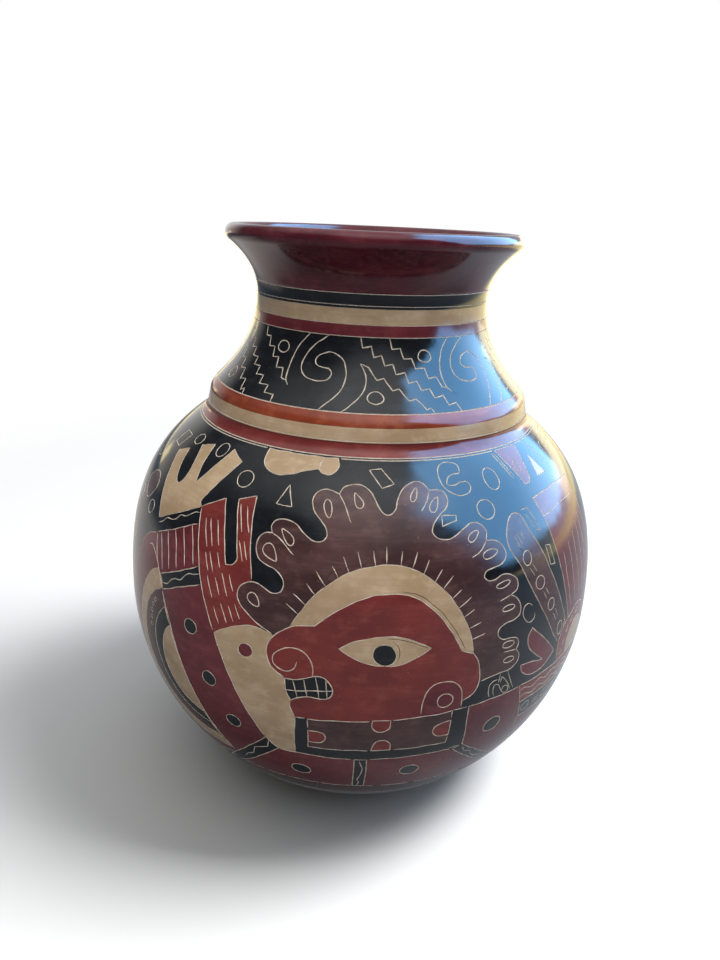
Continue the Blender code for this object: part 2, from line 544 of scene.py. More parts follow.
@dataclass
class Carver:
    """Lays a drawing on a turned wall and carves its lines into it."""

    meridian: Meridian
    sheet: Sheet
    reference: float
    copies: int
    palette: "Palette"

    def on_wall(self, plane: Array, depth: Array | float = 0.0) -> Array:
        """Rolls points of the drawing on to the wall.

        Args:
            plane: Places round and up the wall.
            depth: How far each lies below the surface.

        Returns:
            Places in space, in millimetres.
        """
        radius, height = self.meridian.at(plane[:, 1])
        out = self.meridian.outward(plane[:, 1])
        radius = radius - depth * out[:, 0]
        height = height - depth * out[:, 1]
        turn = plane[:, 0] / self.reference
        return np.column_stack([radius * np.sin(turn), -radius * np.cos(turn), height])

    def sides(self, cut: Cut) -> tuple[Array, Array]:
        """Gives the two borders of a carved line.

        Args:
            cut: The carved line.

        Returns:
            The left and the right border.
        """
        path = cut.path
        if cut.closed:
            step = np.roll(path, -1, axis=0) - np.roll(path, 1, axis=0)
        else:
            step = np.gradient(path, axis=0)
        shrink = self.meridian.at(path[:, 1])[0] / self.reference
        true = np.column_stack([step[:, 0] * shrink, step[:, 1]])
        true /= np.linalg.norm(true, axis=1)[:, None]
        half = cut.half_widths()
        aside = np.column_stack([-true[:, 1] * half / shrink, true[:, 0] * half])
        return path + aside, path - aside

    def wrapped(self, path: Array) -> list[Array]:
        """Repeats a line one period on where it crosses the drawing's seam.

        Args:
            path: Array of the line.

        Returns:
            The line and its copies.
        """
        reach = 0.5 * self.sheet.period - MARGIN
        found = [path]
        if len(path) and np.ptp(path[:, 0]) < self.sheet.period:
            if path[:, 0].max() > reach:
                found.append(path - [self.sheet.period, 0])
            if path[:, 0].min() < -reach:
                found.append(path + [self.sheet.period, 0])
        return found

    def frame_lines(self, low: float, high: float) -> list[Array]:
        """Gives the border of the drawing between two heights.

        Args:
            low: Lower height up the wall.
            high: Upper height up the wall.

        Returns:
            Four lines.
        """
        half = 0.5 * self.sheet.period
        u = np.linspace(-half, half, round(self.sheet.period / MESH_STEP) + 1)
        v = np.linspace(low, high, round((high - low) / MESH_STEP) + 1)
        level = [np.column_stack([u, np.full_like(u, height)]) for height in (low, high)]
        upright = [np.column_stack([np.full_like(v, side), v]) for side in (-half, half)]
        return level + upright

    def strokes(self, low: float, high: float) -> list[Array]:
        """Gives every line that the mesh has to follow between two heights.

        Args:
            low: Lower height up the wall.
            high: Upper height up the wall.

        Returns:
            The lines.
        """
        lines = self.frame_lines(low, high)
        for path in self.sheet.edges:
            lines.extend(self.wrapped(path))
        for cut in self.sheet.cuts:
            left, right = self.sides(cut)
            if cut.closed:
                loops = [np.vstack([p, p[:1]]) for p in (cut.path, left, right)]
            else:
                ends = np.vstack([left, right[::-1], left[:1]])
                loops = [cut.path, ends]
            for path in loops:
                lines.extend(self.wrapped(path))
        return [p for p in lines if p[:, 1].max() > low - CLEARANCE and p[:, 1].min() < high + CLEARANCE]

    def filling(self, lines: list[Array], low: float, high: float) -> Array:
        """Gives mesh points for the plain ground, clear of the lines.

        Args:
            lines: Lines to keep clear of.
            low: Lower height up the wall.
            high: Upper height up the wall.

        Returns:
            The points.
        """
        tree = search_tree([(u, v, 0) for u, v in np.vstack(lines)])
        half = 0.5 * self.sheet.period
        rows = np.arange(low + MESH_STEP, high - 0.5 * MESH_STEP, MESH_STEP)
        points = []
        for i, v in enumerate(rows):
            for u in np.arange(-half + (0.5 + 0.5 * (i % 2)) * MESH_STEP, half - CLEARANCE, MESH_STEP):
                if tree.find((u, v, 0))[2] > CLEARANCE:
                    points.append((u, v))
        return np.array(points)

    def from_cuts(self, plane: Array) -> tuple[Array, Array]:
        """Measures how far points of the drawing lie from the nearest carved line.

        Args:
            plane: Places round and up the wall.

        Returns:
            Distances as shares of the line's half width, and what shows at the line's bottom.
        """
        centres = []
        steps = []
        halves = []
        floors = []
        for cut in self.sheet.cuts:
            half = cut.half_widths()
            path = cut.path
            if cut.closed:
                path = np.vstack([path, path[:1]])
                half = np.append(half, half[0])
            t = np.arange(0, len(path) - 1, CENTRE_STEP)
            dense = np.column_stack([np.interp(t, np.arange(len(path)), path[:, i]) for i in range(2)])
            for copy in self.wrapped(dense):
                places = self.on_wall(copy)
                centres.append(places)
                steps.append(np.gradient(places, axis=0))
                halves.append(np.interp(t, np.arange(len(path)), half))
                floors.append(np.full(len(t), cut.floor.value))
        centre = np.vstack(centres)
        tree = search_tree(centre)
        places = self.on_wall(plane)
        nearest = np.array([tree.find(place)[1] for place in places])
        away = places - centre[nearest]
        step = np.vstack(steps)[nearest]
        slide = np.clip((away * step).sum(axis=1) / (step**2).sum(axis=1), -SLIDE, SLIDE)
        gap = np.linalg.norm(away - slide[:, None] * step, axis=1)
        return gap / np.concatenate(halves)[nearest], np.concatenate(floors)[nearest]

    def carve(self, name: str, low: float, high: float, lining: Sequence[Knot]) -> Piece:
        """Makes a closed wall, carved outside, between two heights.

        Args:
            name: Name of the new piece.
            low: Lower height up the wall.
            high: Upper height up the wall.
            lining: Radius and height of the inner wall's rings, from top to bottom.

        Returns:
            The wall, with a material place for each slip.
        """
        lines = self.strokes(low, high)
        places = np.vstack([*lines, self.filling(lines, low, high)])
        starts = np.cumsum([0] + [len(p) for p in lines])
        joins = [(a + i, a + i + 1) for a, p in zip(starts, lines) for i in range(len(p) - 1)]
        found = delaunay_2d_cdt([Vector(p) for p in places], joins, [], 0, MERGE)
        plane = np.array([(p.x, p.y) for p in found[0]])
        faces = np.array(found[2])
        half = 0.5 * self.sheet.period
        middle = plane[faces].mean(axis=1)
        kept = (np.abs(middle[:, 0]) < half) & (middle[:, 1] > low) & (middle[:, 1] < high)
        faces = faces[kept]
        middle = middle[kept]
        used, faces = np.unique(faces, return_inverse=True)
        faces = faces.reshape(-1, 3)
        plane = plane[used]
        for column, side in ((0, -half), (0, half), (1, low), (1, high)):
            plane[np.abs(plane[:, column] - side) < SNAP, column] = side
        slips = np.full(len(faces), self.sheet.ground.value)
        for outline, slip in self.sheet.areas:
            for copy in self.wrapped(outline):
                slips[inside(middle, copy)] = slip.value
        depth = CUT_DEPTH * np.clip(FLANK * (BRINK - self.from_cuts(plane)[0]), 0, 1)
        gaps, floors = self.from_cuts(middle)
        slips = np.where(gaps < BED, floors, slips)
        body = self.on_wall(plane, depth)
        ends = [self.edge_chain(plane, faces, height) for height in (high, low)]
        inner, closing = self.line_inside(len(body), lining, *ends)
        slips = np.append(slips, np.full(len(closing), Slip.CLAY.value))
        return self.rolled(name, np.vstack([body, inner]) * MM, np.vstack([faces, closing]), slips)

    @staticmethod
    def edge_chain(plane: Array, faces: Array, height: float) -> Chain:
        """Gives the points of the skin's edge at one height, in order round the wall.

        Args:
            plane: Places of the skin's points in the drawing.
            faces: Triangles of the skin.
            height: Height of the edge up the wall.

        Returns:
            Numbers and places of the points.
        """
        sides = np.sort(np.vstack([faces[:, [0, 1]], faces[:, [1, 2]], faces[:, [2, 0]]]), axis=1)
        pairs, counts = np.unique(sides, axis=0, return_counts=True)
        border = np.unique(pairs[counts == 1])
        ring = border[np.abs(plane[border, 1] - height) < SNAP]
        ring = ring[np.argsort(plane[ring, 0])]
        return ring, plane[ring, 0]

    def line_inside(
        self, first: int, lining: Sequence[Knot], top: Chain, bottom: Chain
    ) -> tuple[Array, Array]:
        """Makes the inner wall of one copy and joins it to the skin's two edges.

        Args:
            first: Number that the first new point gets.
            lining: Radius and height of the inner wall's rings, from top to bottom.
            top: Upper edge of the skin.
            bottom: Lower edge of the skin.

        Returns:
            The new points and the new triangles.
        """
        half = 0.5 * self.sheet.period
        u = np.linspace(-half, half, LINING_STEPS + 1)
        way = np.column_stack([np.sin(u / self.reference), -np.cos(u / self.reference)])
        rings = [np.column_stack([radius * way, np.full_like(u, height)]) for radius, height in lining]
        chains = [(first + i * len(u) + np.arange(len(u)), u) for i in range(len(rings))]
        triangles = []
        for lower, upper in zip([top, *chains], [*chains, bottom]):
            triangles.extend(zipped(lower, upper))
        return np.vstack(rings), np.array(triangles)

    def rolled(self, name: str, body: Array, faces: Array, slips: Array) -> Piece:
        """Repeats one copy round the axis and welds the seams.

        Args:
            name: Name of the new piece.
            body: Places of one copy, in metres.
            faces: Triangles of one copy.
            slips: Material place of each triangle.

        Returns:
            The closed wall.
        """
        places = []
        triangles = []
        for i in range(self.copies):
            turn = np.array(Matrix.Rotation(2 * math.pi * i / self.copies, 3, "Z"))
            places.append(body @ turn.T)
            triangles.append(faces + i * len(body))
        mesh = bpy.data.meshes.new(name)
        mesh.from_pydata(np.vstack(places).tolist(), [], np.vstack(triangles).tolist())
        skin = bpy.data.objects.new(name, mesh)
        self.palette.dress(skin)
        mesh.polygons.foreach_set("material_index", np.tile(slips, self.copies).astype(np.int32))
        bpy.context.scene.collection.objects.link(skin)
        pick(skin)
        bpy.ops.object.mode_set(mode="EDIT")
        bpy.ops.mesh.select_all(action="SELECT")
        bpy.ops.mesh.remove_doubles(threshold=WELD * MM)
        bpy.ops.object.mode_set(mode="OBJECT")
        return skin


def pick(*pieces: Piece) -> None:
    """Selects pieces alone and makes the first one active.

    Args:
        pieces: The pieces.
    """
    bpy.ops.object.select_all(action="DESELECT")
    for piece in pieces:
        piece.select_set(True)
    bpy.context.view_layer.objects.active = pieces[0]


def turned(name: str, rings: Sequence[Knot], steps: int, closed: bool) -> Piece:
    """Turns a wall from a circle, drawn out ring by ring.

    Args:
        name: Name of the new piece.
        rings: Radius and height of each ring in millimetres, in order round the wall.
        steps: Number of points in a ring.
        closed: Whether the last ring joins the first one.

    Returns:
        The turned wall.
    """
    bpy.ops.object.select_all(action="DESELECT")
    radius, height = rings[0]
    bpy.ops.mesh.primitive_circle_add(vertices=steps, radius=radius * MM, location=(0, 0, 0))
    piece = bpy.context.object
    piece.name = name
    bpy.ops.object.mode_set(mode="EDIT")
    bpy.ops.mesh.select_mode(type="EDGE")
    bpy.ops.mesh.select_all(action="SELECT")
    bpy.ops.transform.translate(value=(0, 0, height * MM))
    for wide, tall in rings[1:]:
        grow = wide / radius
        bpy.ops.mesh.extrude_region_move(TRANSFORM_OT_translate={"value": (0, 0, (tall - height) * MM)})
        bpy.ops.transform.resize(value=(grow, grow, 1), center_override=(0, 0, tall * MM))
        radius, height = wide, tall
    if closed:
        bpy.ops.mesh.select_all(action="DESELECT")
        bpy.ops.mesh.select_non_manifold()
        bpy.ops.mesh.bridge_edge_loops()
    bpy.ops.object.mode_set(mode="OBJECT")
    return piece


@dataclass(frozen=True)
class VaseLine:
    """Outer line of the vase, the same as the solids have, in millimetres."""

    foot_radius: float = 58.0
    belly_radius: float = 125.0
    collar_radius: float = 82.7
    throat_radius: float = 57.6
    lip_radius: float = 72.6
    shoulder_reach: float = 3.5
    collar_ledge: float = 0.7
    collar_taper: float = 1.3
    neck_inset: float = 5.2
    slab_edge: float = 6.0
    shoulder_rise: float = 89.7
    seat_rise: float = 5.8
    collar_rise: float = 6.1
    rounding_rise: float = 5.3
    neck_rise: float = 42.6
    flare_rise: float = 26.8
    rim_seam: float = 53.6
    shoulder_slope: float = 36.2
    neck_foot_slope: float = 45.4
    lip_slope: float = 38.8
    belly_fullness: float = 55.6
    shoulder_fullness: float = 25.2
    seat_fullness: float = 2.6
    rounding_fullness: float = 2.4
    neck_fullness: float = 19.3
    throat_fullness: float = 17.0
    rim_fullness: float = 9.5
    flare_fullness: float = 10.3
    wall: float = 7.0
    floor: float = 9.0
    lip_thickness: float = 8.2

    @property
    def equator(self) -> float:
        """Height of the widest line."""
        return math.sqrt(self.belly_radius**2 - self.foot_radius**2)

    @property
    def shoulder(self) -> Knot:
        """Radius and height of the carved line under the red band."""
        return self.collar_radius + self.shoulder_reach, self.equator + self.shoulder_rise

    @property
    def seat(self) -> Knot:
        """Radius and height at which the collar stands on the belly."""
        return self.collar_radius - self.collar_ledge, self.shoulder[1] + self.seat_rise

    @property
    def neck_foot(self) -> Knot:
        """Radius and height at which the neck starts."""
        height = self.seat[1] + self.collar_rise + self.rounding_rise
        return self.collar_radius - self.neck_inset, height

    @property
    def throat(self) -> Knot:
        """Radius and height of the narrowest line."""
        return self.throat_radius, self.neck_foot[1] + self.neck_rise

    @property
    def lip_centre(self) -> Array:
        """Radius and height of the middle of the rounded lip."""
        return np.array([self.lip_radius - 0.5 * self.lip_thickness, self.throat[1] + self.flare_rise])

    def belly(self) -> Meridian:
        """Gives the belly's line from the foot to the collar's seat.

        Returns:
            The measured line.
        """
        start = math.asin(-self.equator / self.belly_radius)
        turn = np.linspace(start, 0, 160)
        bowl = self.belly_radius * np.column_stack([np.cos(turn), np.sin(turn)]) + [0, self.equator]
        back = inward(self.shoulder_slope)
        shoulder = np.array(self.shoulder)
        widest = np.array([self.belly_radius, self.equator])
        full = widest + [0, self.belly_fullness]
        over = cubic(widest, full, shoulder - self.shoulder_fullness * back, shoulder, 160)
        seat = np.array(self.seat)
        low = shoulder + self.seat_fullness * back
        fillet = cubic(shoulder, low, seat - [0, self.seat_fullness], seat, 30)
        return Meridian(np.vstack([bowl, over[1:], fillet[1:]]), self.equator)

    def collar(self) -> Meridian:
        """Gives the collar's line from its seat to the foot of the neck.

        Returns:
            The measured line.
        """
        low = np.array([self.collar_radius, self.seat[1]])
        high = low + [-self.collar_taper, self.collar_rise]
        side = (high - low) / np.linalg.norm(high - low)
        foot = np.array(self.neck_foot)
        start = high + self.rounding_fullness * side
        end = foot - self.rounding_fullness * inward(self.neck_foot_slope)
        rounding = cubic(high, start, end, foot, 40)
        return Meridian(np.vstack([np.linspace(low, high, 20), rounding[1:]]), self.seat[1])

    def neck(self) -> Meridian:
        """Gives the line of the neck and the flare up to the lip.

        Returns:
            The measured line.
        """
        foot = np.array(self.neck_foot)
        throat = np.array(self.throat)
        start = foot + self.neck_fullness * inward(self.neck_foot_slope)
        waist = cubic(foot, start, throat - [0, self.throat_fullness], throat, 120)
        tilt = math.radians(self.lip_slope)
        along = np.array([math.cos(tilt), math.sin(tilt)])
        lip = self.lip_centre + 0.5 * self.lip_thickness * np.array([along[1], -along[0]])
        end = lip - self.flare_fullness * along
        flare = cubic(throat, throat + [0, self.rim_fullness], end, lip, 80)
        return Meridian(np.vstack([waist, flare[1:]]), foot[1])


class Node:
    """A value in a shader; sums and products with it add Math nodes."""

    def __init__(self, shader: "Shader", socket: bpy.types.NodeSocket) -> None:
        """Keeps the socket and the shader it belongs to."""
        self.shader = shader
        self.socket = socket

    def _math(self, operation: str, *values: "Node | float") -> "Node":
        """Adds a Math node on these values."""
        return self.shader.add("ShaderNodeMath", {"operation": operation}, dict(enumerate(values)))

    def __add__(self, other: "Node | float") -> "Node":
        """Adds a value."""
        return self._math("ADD", self, other)

    __radd__ = __add__

    def __mul__(self, other: "Node | float") -> "Node":
        """Multiplies by a value."""
        return self._math("MULTIPLY", self, other)

    __rmul__ = __mul__

    def __sub__(self, other: "Node | float") -> "Node":
        """Takes a value away."""
        return self._math("SUBTRACT", self, other)

    def __rsub__(self, other: "Node | float") -> "Node":
        """Takes this away from a value."""
        return self._math("SUBTRACT", other, self)

    def size(self) -> "Node":
        """Gives the value without its sign."""
        return self._math("ABSOLUTE", self)

    def within(self, low: float, high: float) -> "Node":
        """Gives 0 below low, 1 above high and a smooth rise between."""
        settings = {"interpolation_type": "SMOOTHSTEP", "clamp": True}
        return self.shader.add("ShaderNodeMapRange", settings, {"Value": self, 1: low, 2: high})


Value = Node | float | tuple[float, ...]


class Shader:
    """The nodes of a material or of the surroundings, added one by one."""

    def __init__(self, owner: bpy.types.Material | bpy.types.World, surface: str, space: str) -> None:
        """Starts with the shader node that is there and one set of coordinates.

        Args:
            owner: Material or surroundings.
            surface: Name of the shader node.
            space: Name of the coordinates.
        """
        owner.use_nodes = True
        self.owner = owner
        self.tree = owner.node_tree
        self.surface = self.tree.nodes[surface]
        self.place = self.add("ShaderNodeTexCoord", {}, {}, space)

    @classmethod
    def of_material(cls, name: str) -> "Shader":
        """Starts a material with one Principled shader."""
        return cls(bpy.data.materials.new(name), "Principled BSDF", "Object")

    def add(
        self,
        kind: str,
        settings: dict[str, str | bool],
        values: dict[str | int, Value],
        output: str | int = 0,
    ) -> Node:
        """Adds a node.

        Args:
            kind: Type of the node.
            settings: Properties of the node, set first.
            values: Numbers or links for its inputs, by name or number.
            output: Name or number of the output that is wanted.

        Returns:
            The wanted output.
        """
        node = self.tree.nodes.new(kind)
        for key, value in settings.items():
            setattr(node, key, value)
        for key, value in values.items():
            self.feed(node.inputs[key], value)
        return Node(self, node.outputs[output])

    def feed(self, socket: bpy.types.NodeSocket, value: Value) -> None:
        """Sets or links one input.

        Args:
            socket: The input.
            value: Number, colour or link.
        """
        if isinstance(value, Node):
            self.tree.links.new(value.socket, socket)
        else:
            socket.default_value = value

    def noise(self, scale: Colour, detail: float, roughness: float = 0.55) -> Node:
        """Adds cloudy variation on the object's own coordinates.

        Args:
            scale: Clouds in a metre along each axis.
            detail: Number of finer layers.
            roughness: How strong the finer layers are.

        Returns:
            Values round a half.
        """
        stretched = self.add("ShaderNodeMapping", {}, {"Vector": self.place, "Scale": scale})
        values = {"Vector": stretched, "Scale": 1.0, "Detail": detail, "Roughness": roughness}
        return self.add("ShaderNodeTexNoise", {}, values)

    def blend(self, mask: Node, low: Value, high: Value) -> Node:
        """Mixes two colours by a mask."""
        return self.add("ShaderNodeMix", {"data_type": "RGBA"}, {0: mask, 6: low, 7: high}, 2)

    def vector(self, operation: str, first: Value, second: Value, output: str = "Vector") -> Node:
        """Adds a Vector Math node on two values."""
        return self.add("ShaderNodeVectorMath", {"operation": operation}, {0: first, 1: second}, output)

    def along(self, way: Sequence[float]) -> Node:
        """Gives how far the coordinates lie along a direction."""
        return self.vector("DOT_PRODUCT", self.place, tuple(way), "Value")

    def ray(self, kind: str) -> Node:
        """Gives 1 for one kind of ray of light and 0 for the others."""
        return self.add("ShaderNodeLightPath", {}, {}, kind)

    def scaled(self, light: Colour, share: Value, label: str) -> Node:
        """Gives a share of a light, on a node with this label."""
        settings = {"operation": "SCALE", "label": label}
        return self.add("ShaderNodeVectorMath", settings, {0: light, "Scale": share})

    def finish(self, **values: Value) -> bpy.types.Material | bpy.types.World:
        """Feeds the shader node.

        Args:
            values: Numbers or links by input name, with _ for a space.

        Returns:
            The material or the surroundings.
        """
        for key, value in values.items():
            self.feed(self.surface.inputs[key.replace("_", " ")], value)
        return self.owner


def grey(tone: float) -> tuple[float, float, float, float]:
    """Gives a shader's grey."""
    return tone, tone, tone, 1.0


def colour(red: float, green: float, blue: float) -> tuple[float, float, float, float]:
    """Turns a screen colour into a shader's colour.

    Args:
        red: Red, from 0 to 255.
        green: Green, from 0 to 255.
        blue: Blue, from 0 to 255.

    Returns:
        The colour, linear and opaque.
    """
    parts = [c / 255 for c in (red, green, blue)]
    linear = [c / 12.92 if c <= 0.04045 else ((c + 0.055) / 1.055) ** 2.4 for c in parts]
    return linear[0], linear[1], linear[2], 1.0


@dataclass(frozen=True)
class BurnishedSlip:
    """A coat of coloured slip, rubbed to a shine while the wall turned."""

    name: str
    tone: Colour
    dark: Colour
    pale: Colour
    gloss: float = 0.12
    brush: float = 0.22

    def material(self) -> bpy.types.Material:
        """Makes the material: clouded colour, level rubbing streaks and small pits.

        Returns:
            The material.
        """
        shader = Shader.of_material(self.name)
        clouds = shader.noise((34, 34, 52), 4, 0.6)
        mottle = shader.noise((130, 130, 200), 4, 0.6)
        strokes = shader.noise((26, 26, 260), 3)
        streaks = shader.noise((16, 16, 1100), 2)
        grain = shader.noise((1100, 1100, 1100), 2)
        pits = shader.noise((420, 420, 420), 2, 0.7).within(0.71, 0.77)
        base = shader.blend(clouds.within(0.36, 0.64), colour(*self.dark), colour(*self.tone))
        base = shader.blend(mottle.within(0.48, 0.72) * 0.45, base, colour(*self.pale))
        base = shader.blend((1 - mottle).within(0.50, 0.74) * 0.45, base, colour(*self.dark))
        base = shader.blend(strokes.within(0.50, 0.72) * self.brush, base, colour(*self.pale))
        base = shader.blend((1 - strokes).within(0.52, 0.74) * self.brush, base, colour(*self.dark))
        base = shader.blend(streaks.within(0.42, 0.70) * 0.30, base, colour(*self.dark))
        base = shader.blend(grain.within(0.5, 0.9) * 0.25, base, colour(*self.dark))
        base = shader.blend(pits * 0.4, base, colour(*self.pale))
        rough = self.gloss + 0.05 * strokes.within(0.4, 0.7) + 0.04 * clouds.within(0.4, 0.7) + 0.3 * pits
        relief = 0.6 * strokes + 0.3 * streaks + 0.1 * grain - 0.6 * pits
        bump = shader.add("ShaderNodeBump", {}, {"Strength": 0.06, "Distance": 0.0004, "Height": relief})
        return shader.finish(Base_Color=base, Roughness=rough, Normal=bump)


@dataclass(frozen=True)
class BareClay:
    """Clay without slip: in the carved lines, inside and under the foot."""

    name: str
    tone: Colour
    dark: Colour
    grains: float = 700.0

    def material(self) -> bpy.types.Material:
        """Makes the material: dull, grainy and a little uneven.

        Returns:
            The material.
        """
        shader = Shader.of_material(self.name)
        grain = shader.noise((self.grains,) * 3, 4, 0.65)
        clouds = shader.noise((60, 60, 60), 3)
        base = shader.blend(grain.within(0.3, 0.7), colour(*self.dark), colour(*self.tone))
        base = shader.blend(clouds.within(0.4, 0.8) * 0.5, base, colour(*self.dark))
        bump = shader.add("ShaderNodeBump", {}, {"Strength": 0.2, "Distance": 0.0003, "Height": grain})
        return shader.finish(Base_Color=base, Roughness=0.7 + 0.2 * grain, Normal=bump)


class Palette:
    """All finishes of the vase, in the order of their places."""

    def __init__(self) -> None:
        """Makes every material once."""
        finishes = {
            Slip.BLACK: BurnishedSlip("black_slip", (24, 27, 33), (16, 18, 23), (43, 45, 49), 0.09),
            Slip.BRICK: BurnishedSlip("brick_slip", (122, 49, 45), (102, 41, 40), (146, 74, 64)),
            Slip.OXBLOOD: BurnishedSlip("oxblood_slip", (106, 42, 48), (88, 34, 41), (128, 64, 66)),
            Slip.ORANGE: BurnishedSlip("orange_slip", (134, 57, 34), (110, 45, 30), (160, 86, 56)),
            Slip.CREAM: BurnishedSlip(
                "cream_slip", (182, 157, 128), (162, 136, 106), (202, 181, 152), 0.14, 0.16
            ),
            Slip.BROWN: BurnishedSlip("brown_slip", (82, 54, 53), (58, 37, 38), (104, 78, 74), 0.2),
            Slip.WINE: BurnishedSlip("wine_slip", (88, 28, 38), (66, 20, 30), (112, 52, 60), 0.09),
            Slip.CUT: BareClay("cut_clay", (222, 212, 198), (196, 182, 166)),
            # Dark brown floor of the thin scratched lines
            Slip.SCRATCH: BareClay("dark_line_clay", (104, 80, 66), (72, 54, 46)),
            Slip.CLAY: BareClay("inside_clay", (120, 76, 58), (92, 56, 44), 260.0),
        }
        self.materials = [finishes[slip].material() for slip in Slip]

    def dress(self, piece: Piece) -> None:
        """Gives a piece every material place, whichever it uses.

        Args:
            piece: The piece.
        """
        piece.data.materials.clear()
        for material in self.materials:
            piece.data.materials.append(material)


@dataclass
class BellyDrawing:
    """The carved figure of one half-turn of the belly."""

    reference: float = 125.0
    shoulder: float = 102.3
    seat: float = 109.8
    border: float = -70.5
    skirting: float = -86.0
    rows_end: float = 243.0
    sheet: Sheet = field(init=False)

    def __post_init__(self) -> None:
        """Draws the figure, from the ground up."""
        self.sheet = Sheet(Slip.BLACK, math.pi * self.reference)
        self.bands()
        self.wing()
        self.arm()
        self.prongs()
        self.breast()
        self.headdress()
        self.head()
        self.bar()
        self.hem()
        self.feather()
        self.right_panels()
        self.back_panels()
        self.loose_marks()

    def bands(self) -> None:
        """Lays the red band under the collar and the dark bands at the foot."""
        sheet = self.sheet
        sheet.band(self.shoulder + 0.2, self.seat + 4, Slip.BRICK)
        sheet.ring(self.shoulder + 0.5, BOLD)
        sheet.ring(self.shoulder - 0.7, BOLD)
        sheet.band(self.skirting, self.border, Slip.BROWN)
        sheet.ring(self.border)
        sheet.ring(self.skirting, FINE)

    def wing(self) -> None:
        """Draws the nested crescents to the left of the arm."""
        arm = [(-92, 3), (-84, -15), (-77, -32), (-70, -48), (-64, -61, TIP)]
        outer = [
            (-111, 47, TIP), (-124, 41), (-134, 27), (-139, 9), (-140, -8), (-136, -26), (-127, -43),
            (-114, -55), (-98, -63), (-78, -67, TIP),
        ]
        cream = [
            (-104, 32, TIP), (-113, 27), (-121, 16), (-126, 3), (-127.5, -10), (-124, -26), (-116, -39),
            (-104, -49.5), (-89, -56), (-66.5, -57.5, TIP),
        ]
        brown = [
            (-101.5, 23, TIP), (-110, 17), (-117, 7), (-120.5, -5), (-119, -19), (-112.5, -32),
            (-101, -42.5), (-87, -48.5), (-70.5, -49, TIP),
        ]
        black = [
            (-98, 15, TIP), (-104.5, 8), (-108, -1), (-108, -12), (-104.5, -23), (-97.5, -32.5),
            (-87, -39), (-74.5, -41, TIP),
        ]
        disc = [
            (-93.5, 7.5, TIP), (-98.5, 2), (-101, -5.5), (-101, -14), (-98, -22), (-92, -29),
            (-84.5, -33.2), (-76.5, -34.8, TIP),
        ]
        slips = (Slip.OXBLOOD, Slip.CREAM, Slip.BROWN, Slip.BLACK, Slip.CREAM)
        for knots, slip in zip((outer, cream, brown, black, disc), slips):
            self.sheet.shape(knots + arm[::-1], slip)
        marks = ((-107.6, 14.4), (-109.6, 11), (-111, 7.4), (-111.6, 3.6), (-111.8, -0.4))
        for u, v in marks:
            self.sheet.loop(oval(u, v, 1.3, 1.0, 40), SCRATCHED)
        self.sheet.stroke([(-119.5, 38), (-115, 39), (-110.5, 36.5), (-107, 32.5)])

    def arm(self) -> None:
        """Draws the raised hand, its cuffs and the spotted arm."""
        sheet = self.sheet
        hand = [
            (-115.5, 52.3, TIP), (-121, 61), (-128, 73), (-134.5, 83.2, TIP), (-124.6, 87, TIP),
            (-122.3, 82.5), (-118.8, 76.5), (-115.6, 72.4), (-112.5, 71), (-109.6, 72.8), (-108.2, 77),
            (-109.2, 82), (-115, 92, TIP), (-104.3, 95, TIP), (-101.3, 83.5), (-97.8, 75, TIP),
            (-91, 86), (-86.2, 96.2, TIP), (-74.6, 91.6, TIP), (-80.5, 81.5), (-84.8, 73.5),
            (-87.2, 68.4), (-85.2, 66.8, TIP),
        ]
        sheet.shape(hand, Slip.CREAM, FINE)
        cuff = [
            (-113, 46, TIP), (-82.6, 59.6, TIP), (-79.4, 51.5), (-76, 42, TIP), (-104.3, 28.8, TIP),
            (-109, 37),
        ]
        sheet.shape(cuff, Slip.OXBLOOD)
        for i in range(5):
            u = -109 + 5.6 * i
            v = 47.7 + 2.5 * i
            sheet.stroke([(u, v), (u + 3.9, v - 7.6), (u + 6.6, v - 16.2)])
        sheet.stroke([
            (-114.6, 50.4), (-111, 51.9), (-107.4, 54.7), (-103.4, 55.4), (-100, 57), (-97.4, 59.4),
            (-93, 60.3), (-90, 62), (-87.4, 63.6), (-85, 63.9),
        ])
        sheet.stroke([
            (-101, 25.7), (-97, 27), (-94, 30), (-91, 31.5), (-87, 32.4), (-84.6, 35), (-82, 36.9),
            (-78.5, 37.8), (-75.4, 38.8),
        ])
        arm = [
            (-101, 22.6, TIP), (-73.3, 35, TIP), (-65.4, 17), (-59, 3), (-50, -16), (-40.4, -34, TIP),
            (-63.6, -61.6, TIP), (-67, -54), (-74, -38.5), (-81, -22), (-88, -5), (-94, 9.5),
        ]
        sheet.shape(arm, Slip.OXBLOOD)
        sheet.score([(-104.3, 28.8), (-101, 22.6)])
        sheet.score([(-76, 42), (-73.3, 35)])
        for u, v in ((-78.6, 13), (-68, -9.4), (-57, -30)):
            sheet.area(oval(u, v, 4.0, 3.6, 12), Slip.BLACK, FINE)

